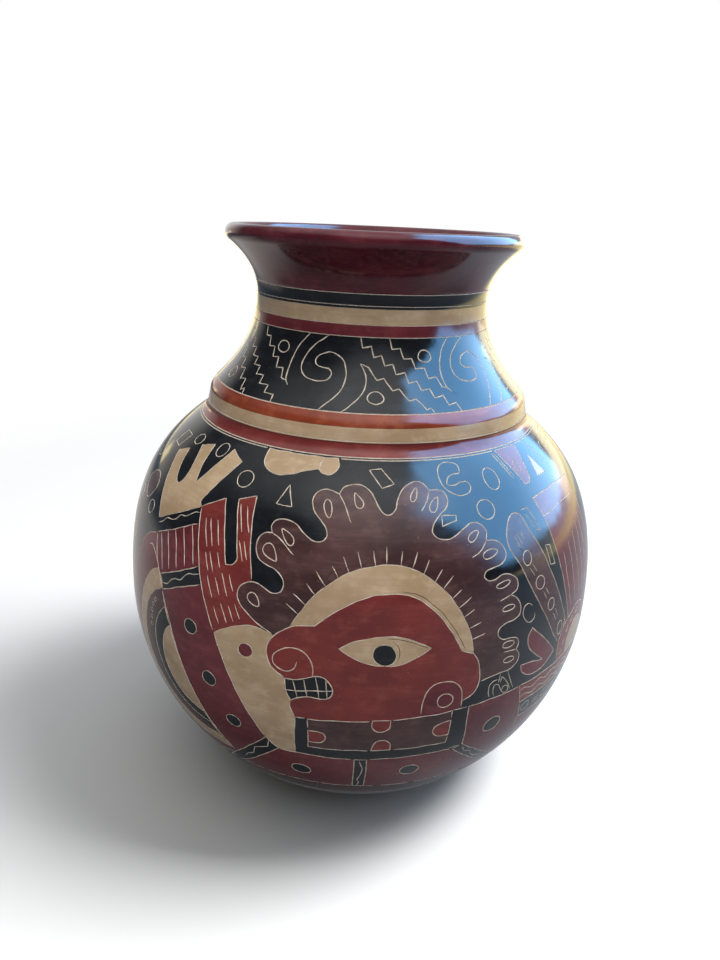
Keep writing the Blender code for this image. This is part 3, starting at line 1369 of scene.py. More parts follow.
    def prongs(self) -> None:
        """Draws the forked brick piece beside the arm, with its dashes."""
        sheet = self.sheet
        fork = [
            (-85.2, 66.8, TIP), (-72.2, 74, TIP), (-67, 62.5), (-61.2, 47, TIP), (-58.2, 47.6),
            (-56.3, 50), (-57.2, 54.5), (-64.3, 75, TIP), (-55.2, 78.3, TIP), (-52, 64), (-47, 43, TIP),
            (-40, 34, TIP), (-40, 25, TIP), (-46.5, 24.3), (-53, 22), (-59, 18.8), (-64.5, 15.5, TIP),
            (-73.3, 35), (-79.3, 51),
        ]
        sheet.shape(fork, Slip.BRICK)
        dashes = (
            (-79.5, 63, 11.5), (-76.3, 64, 11.5), (-71.8, 64, 10), (-74, 49.2, 7), (-71.5, 50, 8),
            (-67, 51, 6), (-70.6, 40, 9), (-66, 40.2, 7), (-62.6, 43, 9), (-58.6, 43.5, 6.6),
            (-65, 27.6, 7.2), (-61.4, 30, 8), (-57.4, 30, 6.6), (-54, 31.6, 6), (-62, 73.4, 11.4),
            (-58, 73.4, 11), (-57, 58.4, 8), (-54.4, 58.4, 7),
        )
        for u, v, drop in dashes:
            sheet.score([(u, v), (u + 0.47 * drop, v - drop)])

    def breast(self) -> None:
        """Draws the cream area between the arm and the face."""
        breast = [
            (-64.5, 15.5, TIP), (-59, 18.8), (-53, 22), (-46.5, 24.3), (-36, 23, TIP), (-30, 15),
            (-20, -8), (-24, -16.5, TIP), (-26.3, -40.3, TIP), (-34.8, -40.6, TIP), (-40.4, -34, TIP),
            (-50, -16), (-59, 3),
        ]
        self.sheet.shape(breast, Slip.CREAM, FINE)
        self.sheet.area(oval(-47.8, 12.2, 3.4, 3.3), Slip.OXBLOOD, FINE)

    def headdress(self) -> None:
        """Draws the lobed headdress with its drops and dividing strokes."""
        sheet = self.sheet
        edge = [
            (-36, 23), (-41, 25.3), (-46, 28.3), (-51, 32), (-53.3, 36.2), (-52.3, 40.2), (-49, 42.6),
            (-45, 43), (-40.5, 41.8), (-36.5, 40.5), (-33.5, 41.2), (-32.3, 44.2), (-33.3, 47.6),
            (-36.4, 50), (-41, 51.2), (-45.4, 53.6), (-47.5, 57.6), (-47, 62), (-44.4, 64.5),
            (-41.6, 64.9, TIP), (-42.6, 67.4), (-41, 70), (-37, 71.3), (-31.5, 70), (-26, 66.5),
            (-21, 64), (-17.2, 64.1), (-15.3, 66.4), (-16, 69.5), (-19.4, 73), (-23.5, 77), (-25, 81),
            (-23.6, 84.5), (-19.6, 86.2), (-15.2, 85.9), (-12, 84.9, TIP), (-10, 87.8), (-6, 89.3),
            (-1, 89.3), (3.4, 87.2), (6.5, 83), (8.6, 79), (11, 76.8), (14, 76.8), (16.8, 79), (18, 83),
            (20.2, 87), (24, 90), (29, 91.2), (33, 90), (35.6, 87, TIP), (40, 87.1), (43.5, 85.4),
            (44.6, 82), (42.8, 78.5), (38.5, 75.5), (34.6, 72), (33.5, 68.6), (35.6, 66.2), (40, 65.4),
            (45, 66.6), (50, 69.3), (55, 71), (59.4, 69.8), (61.5, 66.5), (60.4, 63, TIP), (65, 62.2),
            (69, 59.4), (70.3, 55.5), (67.4, 52), (62, 50.8), (58.4, 50), (57, 48), (58.6, 45.9),
            (62, 45.7), (67, 47.3), (71.5, 46.3), (75, 43), (74.5, 39), (71, 37.4, TIP), (74.5, 35),
            (76.7, 31), (76, 27.6), (72.5, 25.8), (67, 25), (64, 22.8), (64, 20), (66.5, 18),
            (71, 17.8), (74.5, 16.5), (76, 13.5), (75, 10.8, TIP), (77, 7.5), (76.3, 4), (73, 1.7),
            (66, 1.3), (60, 0.8), (55.4, -0.5),
        ]
        border = line(edge)
        hidden = straight([(55.4, -0.5), (45, -4), (0, 30), (-25, 20), (-36, 23)])
        sheet.area(np.vstack([border, hidden[1:-1]]), Slip.BROWN, 0)
        sheet.cut(border)
        splits = [
            [(-41.6, 64.9), (-38, 63.4), (-34, 60.6), (-29.2, 57.4)],
            [(-12, 84.9), (-9.4, 81.4), (-7, 77), (-4.8, 72.8)],
            [(35.6, 87), (34, 83.2), (31.6, 80.4), (29.4, 77.8)],
            [(60.4, 63), (58.5, 60.6), (55.5, 58.3), (52, 56.7)],
            [(71, 37.4), (68, 36.8), (64.6, 36)],
            [(75, 10.8), (71.5, 11.1), (67.6, 11.6)],
        ]
        for knots in splits:
            sheet.stroke(knots)
        drops = (
            (-45.2, 35.8, 3.3, 2.1, -38, 0.3), (-40.4, 56.6, 4.4, 2.4, -44, 0.5),
            (-33.6, 64.2, 4.3, 1.7, -42, -0.5), (-16.6, 78, 4.1, 1.8, -70, 0.2),
            (-2.1, 82.5, 3.7, 1.7, -58, -0.6), (27, 85.2, 3.7, 1.4, 60, 0.4),
            (37, 80.6, 3.9, 1.7, 55, 0.5), (54.2, 65.4, 3.3, 1.6, 32, 0.3),
            (61.6, 57, 4.0, 1.8, 8, 0.2), (67, 43, 3.9, 1.3, 8), (69.4, 31.8, 3.6, 1.3, 5),
            (70, 14.8, 3.2, 1.6, 0), (71, 6.8, 3.2, 1.4, -4),
        )
        for drop in drops:
            sheet.loop(oval(*drop))

    def head(self) -> None:
        """Draws the hair with its rays and the face in profile."""
        sheet = self.sheet
        crown = [
            (-27.6, 28.2, TIP), (-24, 34.4), (-19.4, 41), (-13, 47), (-6, 51.6), (2, 54.8), (12, 56.2),
            (20, 55.5), (28, 52), (36, 46), (42, 39), (47, 30.4), (50.2, 21.5), (51.6, 15.2, TIP),
        ]
        brow = [
            (46, 16.8, TIP), (43.4, 22.2), (38, 30.6), (32, 37.4), (25.6, 42.2), (18, 44.4), (10, 44.2),
            (3, 42.6), (-5, 39), (-12, 34), (-17.4, 29.3, TIP),
        ]
        sheet.shape(crown + brow, Slip.CREAM, FINE)
        arch = line(crown)
        count = 19
        for i in range(count):
            at = round((0.055 + 0.90 * i / (count - 1)) * (len(arch) - 2))
            away = arch[at + 1] - arch[at - 1]
            away = np.array([-away[1], away[0]]) / np.linalg.norm(away)
            length = 6.6 + 0.9 * math.sin(2.6 * i)
            sheet.score([tuple(arch[at] + 0.4 * away), tuple(arch[at] + length * away)])
        face = [
            *brow, (-22, 29), (-27, 27.8), (-31.2, 25.4), (-35, 22), (-37.4, 17.6), (-37.6, 13),
            (-35.6, 8.2), (-32.4, 5.2), (-29.2, 3.6, TIP), (-29.4, -2.5), (-26.8, -7.2, TIP),
            (-27.3, -10), (-26.2, -13.4), (-25, -16.3, TIP), (0, -15.2), (30, -13.6),
            (48.3, -12.6, TIP), (48.6, -8.4, TIP), (51.6, -6.8), (54.4, -4), (55.8, 0.6), (55.5, 5.4),
            (54, 11), (51.4, 15.3, TIP),
        ]
        sheet.shape(face, Slip.BRICK)
        sheet.scratch([
            (19, 45.4), (26.2, 43.5), (33, 38.5), (39.2, 31.5), (44.7, 23), (47.2, 17.6),
        ])
        sheet.scratch([(-13.6, 49.8), (-12.4, 51.6), (-9.4, 53.2), (-5, 54.6), (-2, 55)])
        eye = [
            (-7.2, 20.4, TIP), (0, 24.2), (7, 26), (14, 26.5), (22, 25.2), (28, 22.4),
            (31.6, 20.3, TIP), (26, 16.6), (20, 14.1), (13, 13), (5, 14.3), (-2, 17.4),
        ]
        sheet.shape(eye, Slip.CREAM, FINE)
        sheet.scratch([(13, 25.5), (18, 25), (23.4, 23.7), (28, 21.5), (30.8, 20.3)])
        pupil = [
            (7.2, 18.4), (8.2, 21.6), (11.2, 22.8), (14.8, 22.1), (16.8, 19.4), (16.4, 15.8),
            (14.4, 13.7), (10.8, 13.7), (8.2, 15.5),
        ]
        sheet.shape(pupil, Slip.BLACK, FINE)
        sheet.scratch([(15.4, 24.2), (17.8, 22), (18.4, 18.6), (17.4, 15.2)])
        mouth = [
            (-29.2, 3.2, TIP), (-24, 3.9), (-20, 5.3), (-16, 6.7), (-12.4, 6), (-9.8, 3.5), (-8.6, 0.4),
            (-10, -3), (-13, -4.3), (-20, -4.2), (-24, -5.5), (-26.8, -7.2, TIP), (-28.4, -4),
        ]
        sheet.shape(mouth, Slip.BLACK)
        teeth = [
            [(-29.3, -2.4), (-8.4, 0.4)],
            [(-25.8, 3.5), (-23.6, -4.9)],
            [(-21.2, 4.8), (-19.4, -4.2)],
            [(-16.2, 6.6), (-14.4, -4.3)],
            [(-11.6, 5.4), (-11, -3.6)],
        ]
        for knots in teeth:
            sheet.score(knots)
        sheet.stroke([
            (-17.4, 6.6), (-17.2, 10), (-18.5, 14), (-21.5, 17.2), (-26, 18.4), (-31, 17),
            (-34.6, 13.4), (-34.5, 10), (-32, 7.6), (-28.5, 6.9), (-25.5, 8.6), (-24.2, 12.2),
        ])
        ear = [
            (29.6, -13.6, TIP), (29.8, -5), (31.2, -0.5), (34.6, 2.6), (39, 3.4), (43.4, 2.4),
            (46.4, -0.8), (47.8, -6), (48.3, -12.6, TIP),
        ]
        sheet.shape(ear, Slip.OXBLOOD)
        sheet.loop(oval(40, -6.3, 3.7, 3.6))

    def bar(self) -> None:
        """Draws the framed neck bar under the face with its four tabs."""
        sheet = self.sheet
        frame_area = [
            (-25, -16.3), (48.3, -12.6), (52.2, -12.4), (53.2, -25), (54.4, -37.8), (45, -39.2),
            (-2, -41), (-26.3, -40.3),
        ]
        sheet.plate(frame_area, Slip.BLACK)
        sheet.plate([(-19.4, -16.2), (44.4, -13), (44.4, -33), (-19.6, -34.3)], Slip.BROWN)
        tabs = [
            [
                (-19.5, -23, TIP), (-15, -23.2), (-12.2, -24.3), (-11.6, -26.6), (-13.2, -29.7),
                (-19.5, -30.5, TIP),
            ],
            [(8.8, -14.7, TIP), (9, -19), (11, -21), (14, -21), (16, -19.5), (16.4, -14.4, TIP)],
            [(9, -33.7, TIP), (9.7, -30), (11.6, -27), (15, -26.6), (17.2, -28.6), (17.9, -33.5, TIP)],
            [
                (44.4, -18.6, TIP), (40, -19.3), (37, -21), (36.6, -24.5), (39, -27.3),
                (44.4, -27.8, TIP),
            ],
        ]
        for knots in tabs:
            sheet.shape(knots, Slip.BRICK)

    def hem(self) -> None:
        """Draws the red border at the bottom with its spots and dividers."""
        sheet = self.sheet
        low = self.border
        hem = [
            (-34.8, -40.6), (-26.3, -40.3), (-2, -41), (45, -39.2), (49.6, -40.2), (63, -53), (84, low),
            (-58, low), (-60.5, -66.4),
        ]
        sheet.plate(hem, Slip.OXBLOOD)
        sheet.plate([(-40.4, -34), (-34.8, -40.6), (-60.5, -66.4), (-66, low), (-74, low)], Slip.BLACK)
        sheet.score([
            (-39, -36), (-40.4, -41.4), (-48.4, -45.4), (-50.6, -52), (-55.4, -55.4), (-58.4, -60),
        ])
        sheet.plate([(1.7, -41), (7.8, -41), (7.8, low), (1.7, low)], Slip.BLACK)
        sheet.score([(4.4, -42), (6, -49), (5.2, -55), (3.8, -61), (5.2, -65), (4, low)])
        for u, v in ((-25, -55.4), (29.8, -52.6)):
            sheet.area(oval(u, v, 5.0, 4.5), Slip.BLACK)
        sheet.plate([
            (49.6, -40.2), (54.4, -37.8), (60, -43), (80, -59), (95, low), (84, low), (63, -53),
        ], Slip.BLACK)
        sheet.score([
            (55, -40), (58, -45), (61.4, -46.6), (64, -51), (67, -54), (70.4, -55.6), (78, -63),
        ])

    def feather(self) -> None:
        """Draws the long feather and the red hook beside it."""
        sheet = self.sheet
        feather = [
            (108.4, 0.6, TIP), (103, 7), (94.5, 20), (85, 35), (77, 50.5), (73, 57.4), (72.6, 61),
            (74, 65.6), (76.6, 69.4), (80, 71.5), (84, 70.8), (88, 63), (92.5, 55), (98, 43),
            (105, 28.5), (113, 12, TIP),
        ]
        sheet.shape(feather, Slip.BROWN)
        spots = (
            (83, 51, 2.8, 3.2), (90.2, 38, 3.1, 3.1), (98.3, 25.2, 2.7, 3.0), (107.6, 9.6, 2.4, 3.6),
        )
        for spot in spots:
            sheet.loop(oval(*spot))
        for u, v in ((84, 46.4), (92.2, 33.4), (100.4, 20)):
            sheet.score([(u, v), (u + 2.8, v - 4.4)])
            sheet.score([(u + 1.8, v + 1.5), (u + 4.5, v - 2.8)])
        hook = [
            (84.8, 18.4, TIP), (82, 14.2), (82.3, 11), (85, 6.6), (89, 3), (94.8, -1.4, TIP),
            (92, -1.2), (87, 0), (79.2, 1.3, TIP), (80.2, -2.2), (83.2, -5.3), (88, -7), (93, -7.1),
            (98, -6), (104.6, -1.6, TIP), (101.4, 2.6), (95, 9), (89.4, 14),
        ]
        sheet.shape(hook, Slip.OXBLOOD)
        for u, v, drop in ((77.2, 62.2, 6.2), (79.2, 62.6, 5.4), (81.6, 62.6, 4.2)):
            sheet.score([(u, v), (u + 0.42 * drop, v - drop)], FINE)
        curls = [
            [(62.8, -11.6), (61.6, -6.8), (62, -3.2), (63.6, -2), (65.6, -2)],
            [(66.8, 0.8), (66.4, -4)],
            [
                (67.2, -13.6), (64, -6.8), (64.4, -4.4), (66.4, -4.8), (68, -7.2), (70.4, -10.4),
                (71.8, -10.8), (72.8, -9.6), (72.4, -7.8), (71.2, -6.8), (69.6, -7.2), (69.2, -8.8),
            ],
            [(67.6, -4.4), (68, -1.2, TIP), (70.4, -3.6), (72.8, -7.2), (74.4, -10)],
            [(71.2, 0.8), (73.6, -4.8), (76.8, -10.8)],
        ]
        for knots in curls:
            sheet.stroke(knots)

    def right_panels(self) -> None:
        """Draws the panels to the right of the figure."""
        sheet = self.sheet
        back = [
            (52.2, -12.4, TIP), (81, -11, TIP), (84.4, -21), (87.4, -32), (90.4, -43), (95, -58, TIP),
            (88, -65.5, TIP), (80, -59, TIP), (60, -43, TIP), (54.4, -37.8, TIP),
        ]
        sheet.shape(back, Slip.OXBLOOD)
        sheet.area(oval(68.8, -29.4, 4.8, 4.7), Slip.BLACK)
        round_form = [
            (110, -9.8, TIP), (108.4, 0), (112.6, 8.4), (120, 12.8), (129, 13.8), (138, 11.4),
            (145, 5.4), (148.6, -3), (148.6, -9.4, TIP),
        ]
        sheet.shape(round_form, Slip.BRICK)
        inner = [
            (119, -9.6, TIP), (118.6, -3.4), (121, 2), (126, 5.4), (131.6, 6), (137, 3.4), (140.6, -2),
            (141.6, -9.5, TIP),
        ]
        sheet.shape(inner, Slip.CREAM, FINE)
        for u, v in ((111.8, -6.4), (113.4, -1), (116, 4.4), (120.4, 8), (127, 10)):
            sheet.loop(oval(u + 1.4, v, 1.5, 0.9, 60), FINE)
        end = self.rows_end
        sheet.plate([
            (81, -11), (150, -9.2), (end, -9.2), (end, -21.4), (150, -21.4), (84.4, -22.4),
        ], Slip.BRICK)
        for u, v in ((82.4, -14.6), (83.6, -18.8)):
            sheet.cut(ripple((u, v), (end - 1, v + 1), 14, 0.9))
        for i in range(9):
            u = 90.8 + 17.5 * i
            sheet.loop(oval(u, -28, 3.1, 2.9))
            for v in (-28.8, -26.8):
                sheet.score([(u + 6, v), (u + 11.4, v)], FINE)
        sheet.score([(end, -21.8), (end, -32.6)])
        lower = [(87.6, -34), (end, -33), (end, -60), (97, -60), (95, -58), (90.4, -43)]
        sheet.plate(lower, Slip.BRICK)
        for i in range(6):
            sheet.area(oval(112 + 24 * i, -47, 5, 4.5), Slip.BLACK)
        panel = [
            (102, 65.4, TIP), (124, 67.2), (148, 66.4, TIP), (150, 40), (146, 6, TIP), (138, 11.4),
            (129, 13.8), (116.6, 11, TIP), (114, 19), (110, 33), (106, 48),
        ]
        sheet.shape(panel, Slip.OXBLOOD)
        for i in range(5):
            sheet.stroke([(112 + 7 * i, 46 + 3 * i), (114.6 + 6.6 * i, 32 + i), (118.4 + 6 * i, 17)])
        sheet.shape([
            (99.4, 75, TIP), (128, 76.2), (150, 74.6, TIP), (148, 66.4, TIP), (124, 67.2),
            (102, 65.4, TIP),
        ], Slip.BRICK)
        sheet.plate([(91.6, 101.6), (114.6, 101.6), (106.2, 84.4), (103, 82), (99.4, 82)], Slip.BRICK)
        sheet.score([(87.4, 100.4), (92.6, 86)])
        sheet.score([(89.4, 100.4), (94.2, 87)])
        sheet.loop(oval(101.6, 91.4, 2.6, 3.0), FINE)
        sheet.plate([(119.5, 94), (114.5, 83), (124.5, 83)], Slip.CREAM, FINE)
        sheet.score([(125.6, 101), (134.6, 82)], FINE)
        sheet.score([(128.4, 101), (137, 84)], FINE)
        sheet.score([(86.4, 71.6), (92, 71.8), (96.6, 61), (92.6, 61.4)], FINE)
        sheet.score([(88.8, 69.6), (93, 61.8)], FINE)
        sheet.loop(straight([(97.5, 53), (101, 52.6), (103, 43.3), (99.2, 44)], True))

    def back_panels(self) -> None:
        """Draws a stepped ribbon and a stepped scroll where two figures meet, out of sight."""
        sheet = self.sheet
        left = stair((162, 98), (202, 54), 8)
        right = stair((180, 98), (220, 54), 8)
        right = right[right[:, 0] < 216]
        sheet.area(np.vstack([left, right[::-1]]), Slip.BRICK)
        sheet.cut(stair((171, 98), (211, 54), 8), FINE)
        share = np.linspace(0, 1, 80)
        turn = np.radians(150 - 560 * share)
        reach = 27 - 20 * share
        way = np.column_stack([np.cos(turn), np.sin(turn)])
        middle = np.array([212, 20])
        outer = middle + reach[:, None] * way
        inner = middle + (reach - 6 + 3 * share)[:, None] * way
        foot = straight([(192, 28), (184, 18), (184, -5), (158, -5)])
        sheet.area(np.vstack([stair((156, -5), (188, 33), 5), outer, inner[::-1], foot]), Slip.OXBLOOD)
        sheet.plate([
            (163, -5), (163, 3), (169.4, 3), (169.4, 10.6), (177, 10.6), (177, -5),
        ], Slip.CREAM)
        sheet.area(oval(170, 44, 5.2, 5.2), Slip.CREAM)
        sheet.area(oval(170, 44, 2.2, 2.2), Slip.BLACK, FINE)

    def loose_marks(self) -> None:
        """Carves the small outlines that are strewn over the black ground."""
        sheet = self.sheet
        bean = [
            (-62, 101.6, TIP), (-61, 96), (-58, 92.4), (-53, 90.3), (-46, 90.2), (-38, 92), (-31, 94.3),
            (-25.6, 95.2), (-24, 93.8), (-20.4, 93), (-16.2, 94.5), (-14.4, 97.4), (-16, 101.6, TIP),
        ]
        sheet.shape(bean, Slip.CREAM)
        sheet.stroke([(-25.6, 95.2), (-26, 98), (-24, 101)])
        drop = [
            (-150, 63), (-145, 67.4), (-140, 68.8), (-134.4, 67), (-131.6, 63), (-134, 58.4),
            (-139, 54.6), (-146, 57),
        ]
        sheet.shape(drop, Slip.BROWN)
        boxes = [
            [(-147.4, 93), (-135.6, 92.2), (-139.6, 84), (-149, 84.5)],
            [(-39.4, 86), (-43.2, 76.8), (-35, 76.8)],
            [(3.5, 96.7), (10, 97.8), (16.7, 90.2), (10.5, 88)],
            [(39.2, 70.8), (39.8, 75.3), (47, 75.2), (46.8, 73)],
        ]
        for knots in boxes:
            sheet.loop(straight(knots, True))
        rings = (
            (-123, 93.3, 4.8, 3.0), (-94.6, 94, 4.3, 3.9), (-66.3, 84.6, 4.9, 4.0),
            (76.3, 88.7, 5.0, 5.5), (65, 75.7, 5.0, 4.4), (-128.5, 53.4, 3.8, 3.2), (148, 91, 4.6, 4.4),
            (-160, 76, 4.6, 4), (-155, 52, 4.6, 4), (-149, 34, 4.2, 3.8),
        )
        for ring in rings:
            sheet.loop(oval(*ring))
        sheet.stroke([
            (84.4, 28.8), (81.4, 30.8), (78.9, 30), (78, 27.2), (79.6, 23.6), (82.8, 21.4),
            (85.2, 22.4), (85.8, 25.2),
        ])
        comma = [
            (57.6, 97.4), (54, 99.2), (48, 99.5), (44.6, 97.5), (43, 93), (44.5, 87.6), (48, 84.8),
            (54, 83.3), (58.5, 84.3), (60.5, 87), (59.4, 89.2), (56, 89.5), (50, 88.2), (46.9, 89),
            (48.6, 91.8), (53, 93.5), (57, 94.3),
        ]
        sheet.loop(line(comma, True))


@dataclass(frozen=True)
class Scroll:
    """A scroll of the neck: its room, and the reach and lean of its stepped strokes."""

    spacing: float
    middle_start: float
    upper_end: float
    lower_end: float
    lean: float = 0.2
    rise: float = 0.1
    lower_lean: float = 0.3


@dataclass
class NeckDrawing:
    """The scrolls and colour bands of one half-turn of the neck."""

    reference: float = 66.0
    scroll_top: float = 35.2
    red_top: float = 40.4
    cream_top: float = 47.2
    black_line: float = 48.4
    scrolls: tuple[Scroll, ...] = (
        Scroll(72.0, 9.4, 38.2, 26.0, 0.25, 0.23, 0.57),
        Scroll(57.345, 6.0, 24.0, 15.0),
        Scroll(78.0, 16.0, 39.2, 22.8, 0.05, 0.05),
    )
    sheet: Sheet = field(init=False)

    def __post_init__(self) -> None:
        """Draws the bands and three scrolls."""
        self.sheet = Sheet(Slip.BLACK, math.pi * self.reference)
        sheet = self.sheet
        sheet.band(self.scroll_top, self.red_top, Slip.OXBLOOD)
        sheet.band(self.red_top, self.cream_top, Slip.CREAM)
        for v in (self.scroll_top, self.red_top, self.black_line):
            sheet.ring(v, FINE)
        shift = 0.0
        for scroll in self.scrolls:
            self.carve_scroll(scroll, shift)
            shift += scroll.spacing

    def carve_scroll(self, scroll: Scroll, shift: float) -> None:
        """Carves one scroll and the stepped strokes that lead to the next one.

        Args:
            scroll: The scroll's room and reach.
            shift: Place of the scroll round the wall.
        """
        sheet = self.sheet
        top = self.scroll_top
        curl = [
            (-20.3, top), (-26, 31), (-30.3, 26), (-31.5, 20.5), (-29.5, 16.5), (-25, 14.3),
            (-20.5, 14), (-17, 15.8), (-16.3, 18.4), (-18, 20.2), (-21, 20.4), (-23.8, 21.4),
            (-25, 23.6), (-23.4, 26), (-19.5, 27.5), (-15, 27), (-11.5, 24.2), (-9.7, 19.5), (-10, 14),
            (-12.5, 8), (-16, 3), (-18.5, 0),
        ]
        leaf = [(-3.9, 23.5), (-1, 18.5), (-1.2, 13), (-4, 6.5), (-9.6, 0)]
        tail = [(-30.5, top), (-35, 30), (-37.6, 23), (-37.8, 16.5), (-36.8, 12.6), (-35, 10)]
        strokes = [line(curl), line(leaf), line(tail)]
        spacing = scroll.spacing
        lower = scroll.lower_end
        stairs = [zigzag((-4.4, top), (scroll.upper_end, 0), 9, scroll.lean, scroll.rise)]
        middle = zigzag((scroll.middle_start, top), (spacing - 39.4, 12.8), 5, 0.25, 0.08)
        slope = zigzag((0.2, 21.9), (lower - 2.8, 2.0), 4, scroll.lower_lean, 0.17)
        stairs += [[*middle, (spacing - 36.4, 12.0)], [leaf[0], *slope, (lower - 1.2, 3.2), (lower, 0)]]
        for path in strokes + [straight(knots) for knots in stairs]:
            sheet.cut(path + [shift, 0], BOLD)
        sheet.loop(oval(3.3 + shift, 7.8, 3.4, 3.0), BOLD)
        sheet.loop(oval(spacing - 45.1 + shift, 27.2, 3.5, 2.7), BOLD)


@dataclass
class Wall:
    """Shared work on a section of the vase: inner wall, shading, slip and place."""

    outline: VaseLine
    palette: Palette

    def lining(self, meridian: Meridian, low: float, high: float, count: int) -> list[Knot]:
        """Gives the inner wall's rings, one wall thickness inside the outer line.

        Args:
            meridian: Outer line.
            low: Lower end up the wall.
            high: Upper end up the wall.
            count: Number of rings.

        Returns:
            Radius and height of each ring, from top to bottom.
        """
        at = np.linspace(high, low, count)
        rings = np.column_stack(meridian.at(at))
        ends = rings[[0, -1], 1]
        rings -= self.outline.wall * meridian.outward(at)
        rings[[0, -1], 1] = ends
        return [tuple(ring) for ring in rings]

    def shade(self, piece: Piece, meridian: Meridian) -> None:
        """Shades the slip as the true turned surface, and the cuts flat.

        Args:
            piece: Closed carved section.
            meridian: Its outer line.
        """
        mesh = piece.data
        pick(piece)
        bpy.ops.object.shade_smooth_by_angle(angle=SHARP)
        places = np.empty(3 * len(mesh.vertices))
        mesh.vertices.foreach_get("co", places)
        places = places.reshape(-1, 3)
        out = meridian.outward(np.interp(places[:, 2] / MM, meridian.height, meridian.along))
        radial = places[:, :2] / np.linalg.norm(places[:, :2], axis=1)[:, None]
        normals = np.column_stack([radial * out[:, :1], out[:, 1:]])
        corners = np.empty(len(mesh.loops), dtype=np.int32)
        mesh.loops.foreach_get("vertex_index", corners)
        split = normals[corners]
        for face in mesh.polygons:
            span = slice(face.loop_start, face.loop_start + face.loop_total)
            if face.material_index in (Slip.CUT.value, Slip.SCRATCH.value):
                split[span] = face.normal
            elif face.material_index == Slip.CLAY.value:
                split[span] = 0
        mesh.normals_split_custom_set(split.tolist())

    def coat(self, piece: Piece, slip: Slip) -> None:
        """Makes a turned piece's faces look outward and gives them one slip.

        Args:
            piece: Closed turned section.
            slip: What covers it.
        """
        self.palette.dress(piece)
        pick(piece)
        bpy.ops.object.mode_set(mode="EDIT")
        bpy.ops.mesh.select_all(action="SELECT")
        bpy.ops.mesh.normals_make_consistent(inside=False)
        bpy.ops.object.mode_set(mode="OBJECT")
        for face in piece.data.polygons:
            face.material_index = slip.value
        bpy.ops.object.shade_smooth_by_angle(angle=SHARP)

    def seat(self, piece: Piece, node: str) -> Piece:
        """Drops a piece's unused materials and lets it stand for a solid.

        Args:
            piece: Finished piece.
            node: Solid that it stands for.

        Returns:
            The piece.
        """
        pick(piece)
        bpy.ops.object.material_slot_remove_unused()
        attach(piece, "root")
        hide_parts(node)
        return piece


@dataclass
class Belly(Wall):
    """The two bowls of the belly with the carved figure."""

    drawing: BellyDrawing = field(default_factory=BellyDrawing)
    lining_rings: int = 14

    def build(self) -> list[Piece]:
        """Carves both bowls, lines them and puts them in place.

        Returns:
            The lower and the upper bowl.
        """
        meridian = self.outline.belly()
        carver = Carver(meridian, self.drawing.sheet, self.drawing.reference, COPIES, self.palette)
        foot = meridian.up_to(self.outline.slab_edge)
        spans = {"lower_belly": (foot, 0.0), "upper_belly": (0.0, meridian.along[-1])}
        bowls = []
        for node, (low, high) in spans.items():
            lining = self.lining(meridian, low, high, self.lining_rings)
            bowl = carver.carve("carved_" + node, low, high, lining)
            self.shade(bowl, meridian)
            bowls.append(self.seat(bowl, node))
        return bowls


@dataclass
class Collar(Wall):
    """The raised collar on the shoulder, cream below and orange on its rounding."""

    reference: float = 80.0
    groove: float = 0.5
    orange_from: float = 6.3
    orange_to: float = 16.0
    lining_bulge: float = 1.0
    lining_spread: float = 1.5

    def build(self) -> list[Piece]:
        """Carves the collar, lines it and puts it in place.

        Returns:
            The collar.
        """
        meridian = self.outline.collar()
        length = float(meridian.along[-1])
        sheet = Sheet(Slip.CREAM, math.pi * self.reference)
        sheet.band(self.orange_from, self.orange_to, Slip.ORANGE)
        sheet.ring(self.groove, FINE)
        sheet.ring(length, BOLD)
        carver = Carver(meridian, sheet, self.reference, COPIES, self.palette)
        low = meridian.height[0]
        high = meridian.height[-1]
        radius = meridian.radius[-1] - self.outline.wall
        middle = (radius + self.lining_bulge, 0.5 * (low + high))
        lining = [(radius, high), middle, (radius + self.lining_spread, low)]
        collar = carver.carve("slip_collar", 0.0, length, lining)
        self.shade(collar, meridian)
        return [self.seat(collar, "shoulder_ring")]


@dataclass
class Neck(Wall):
    """The waisted neck with its scrolls and colour bands."""

    drawing: NeckDrawing = field(default_factory=NeckDrawing)
    lining_rings: int = 12

    def build(self) -> list[Piece]:
        """Carves the neck, lines it and puts it in place.

        Returns:
            The neck.
        """
        meridian = self.outline.neck()
        sheet = self.drawing.sheet
        top = self.outline.rim_seam
        sheet.ring(0.0, BOLD)
        sheet.ring(top, BOLD)
        carver = Carver(meridian, sheet, self.drawing.reference, COPIES, self.palette)
        lining = self.lining(meridian, 0.0, top, self.lining_rings)
        neck = carver.carve("scroll_neck", 0.0, top, lining)
        self.shade(neck, meridian)
        return [self.seat(neck, "neck")]


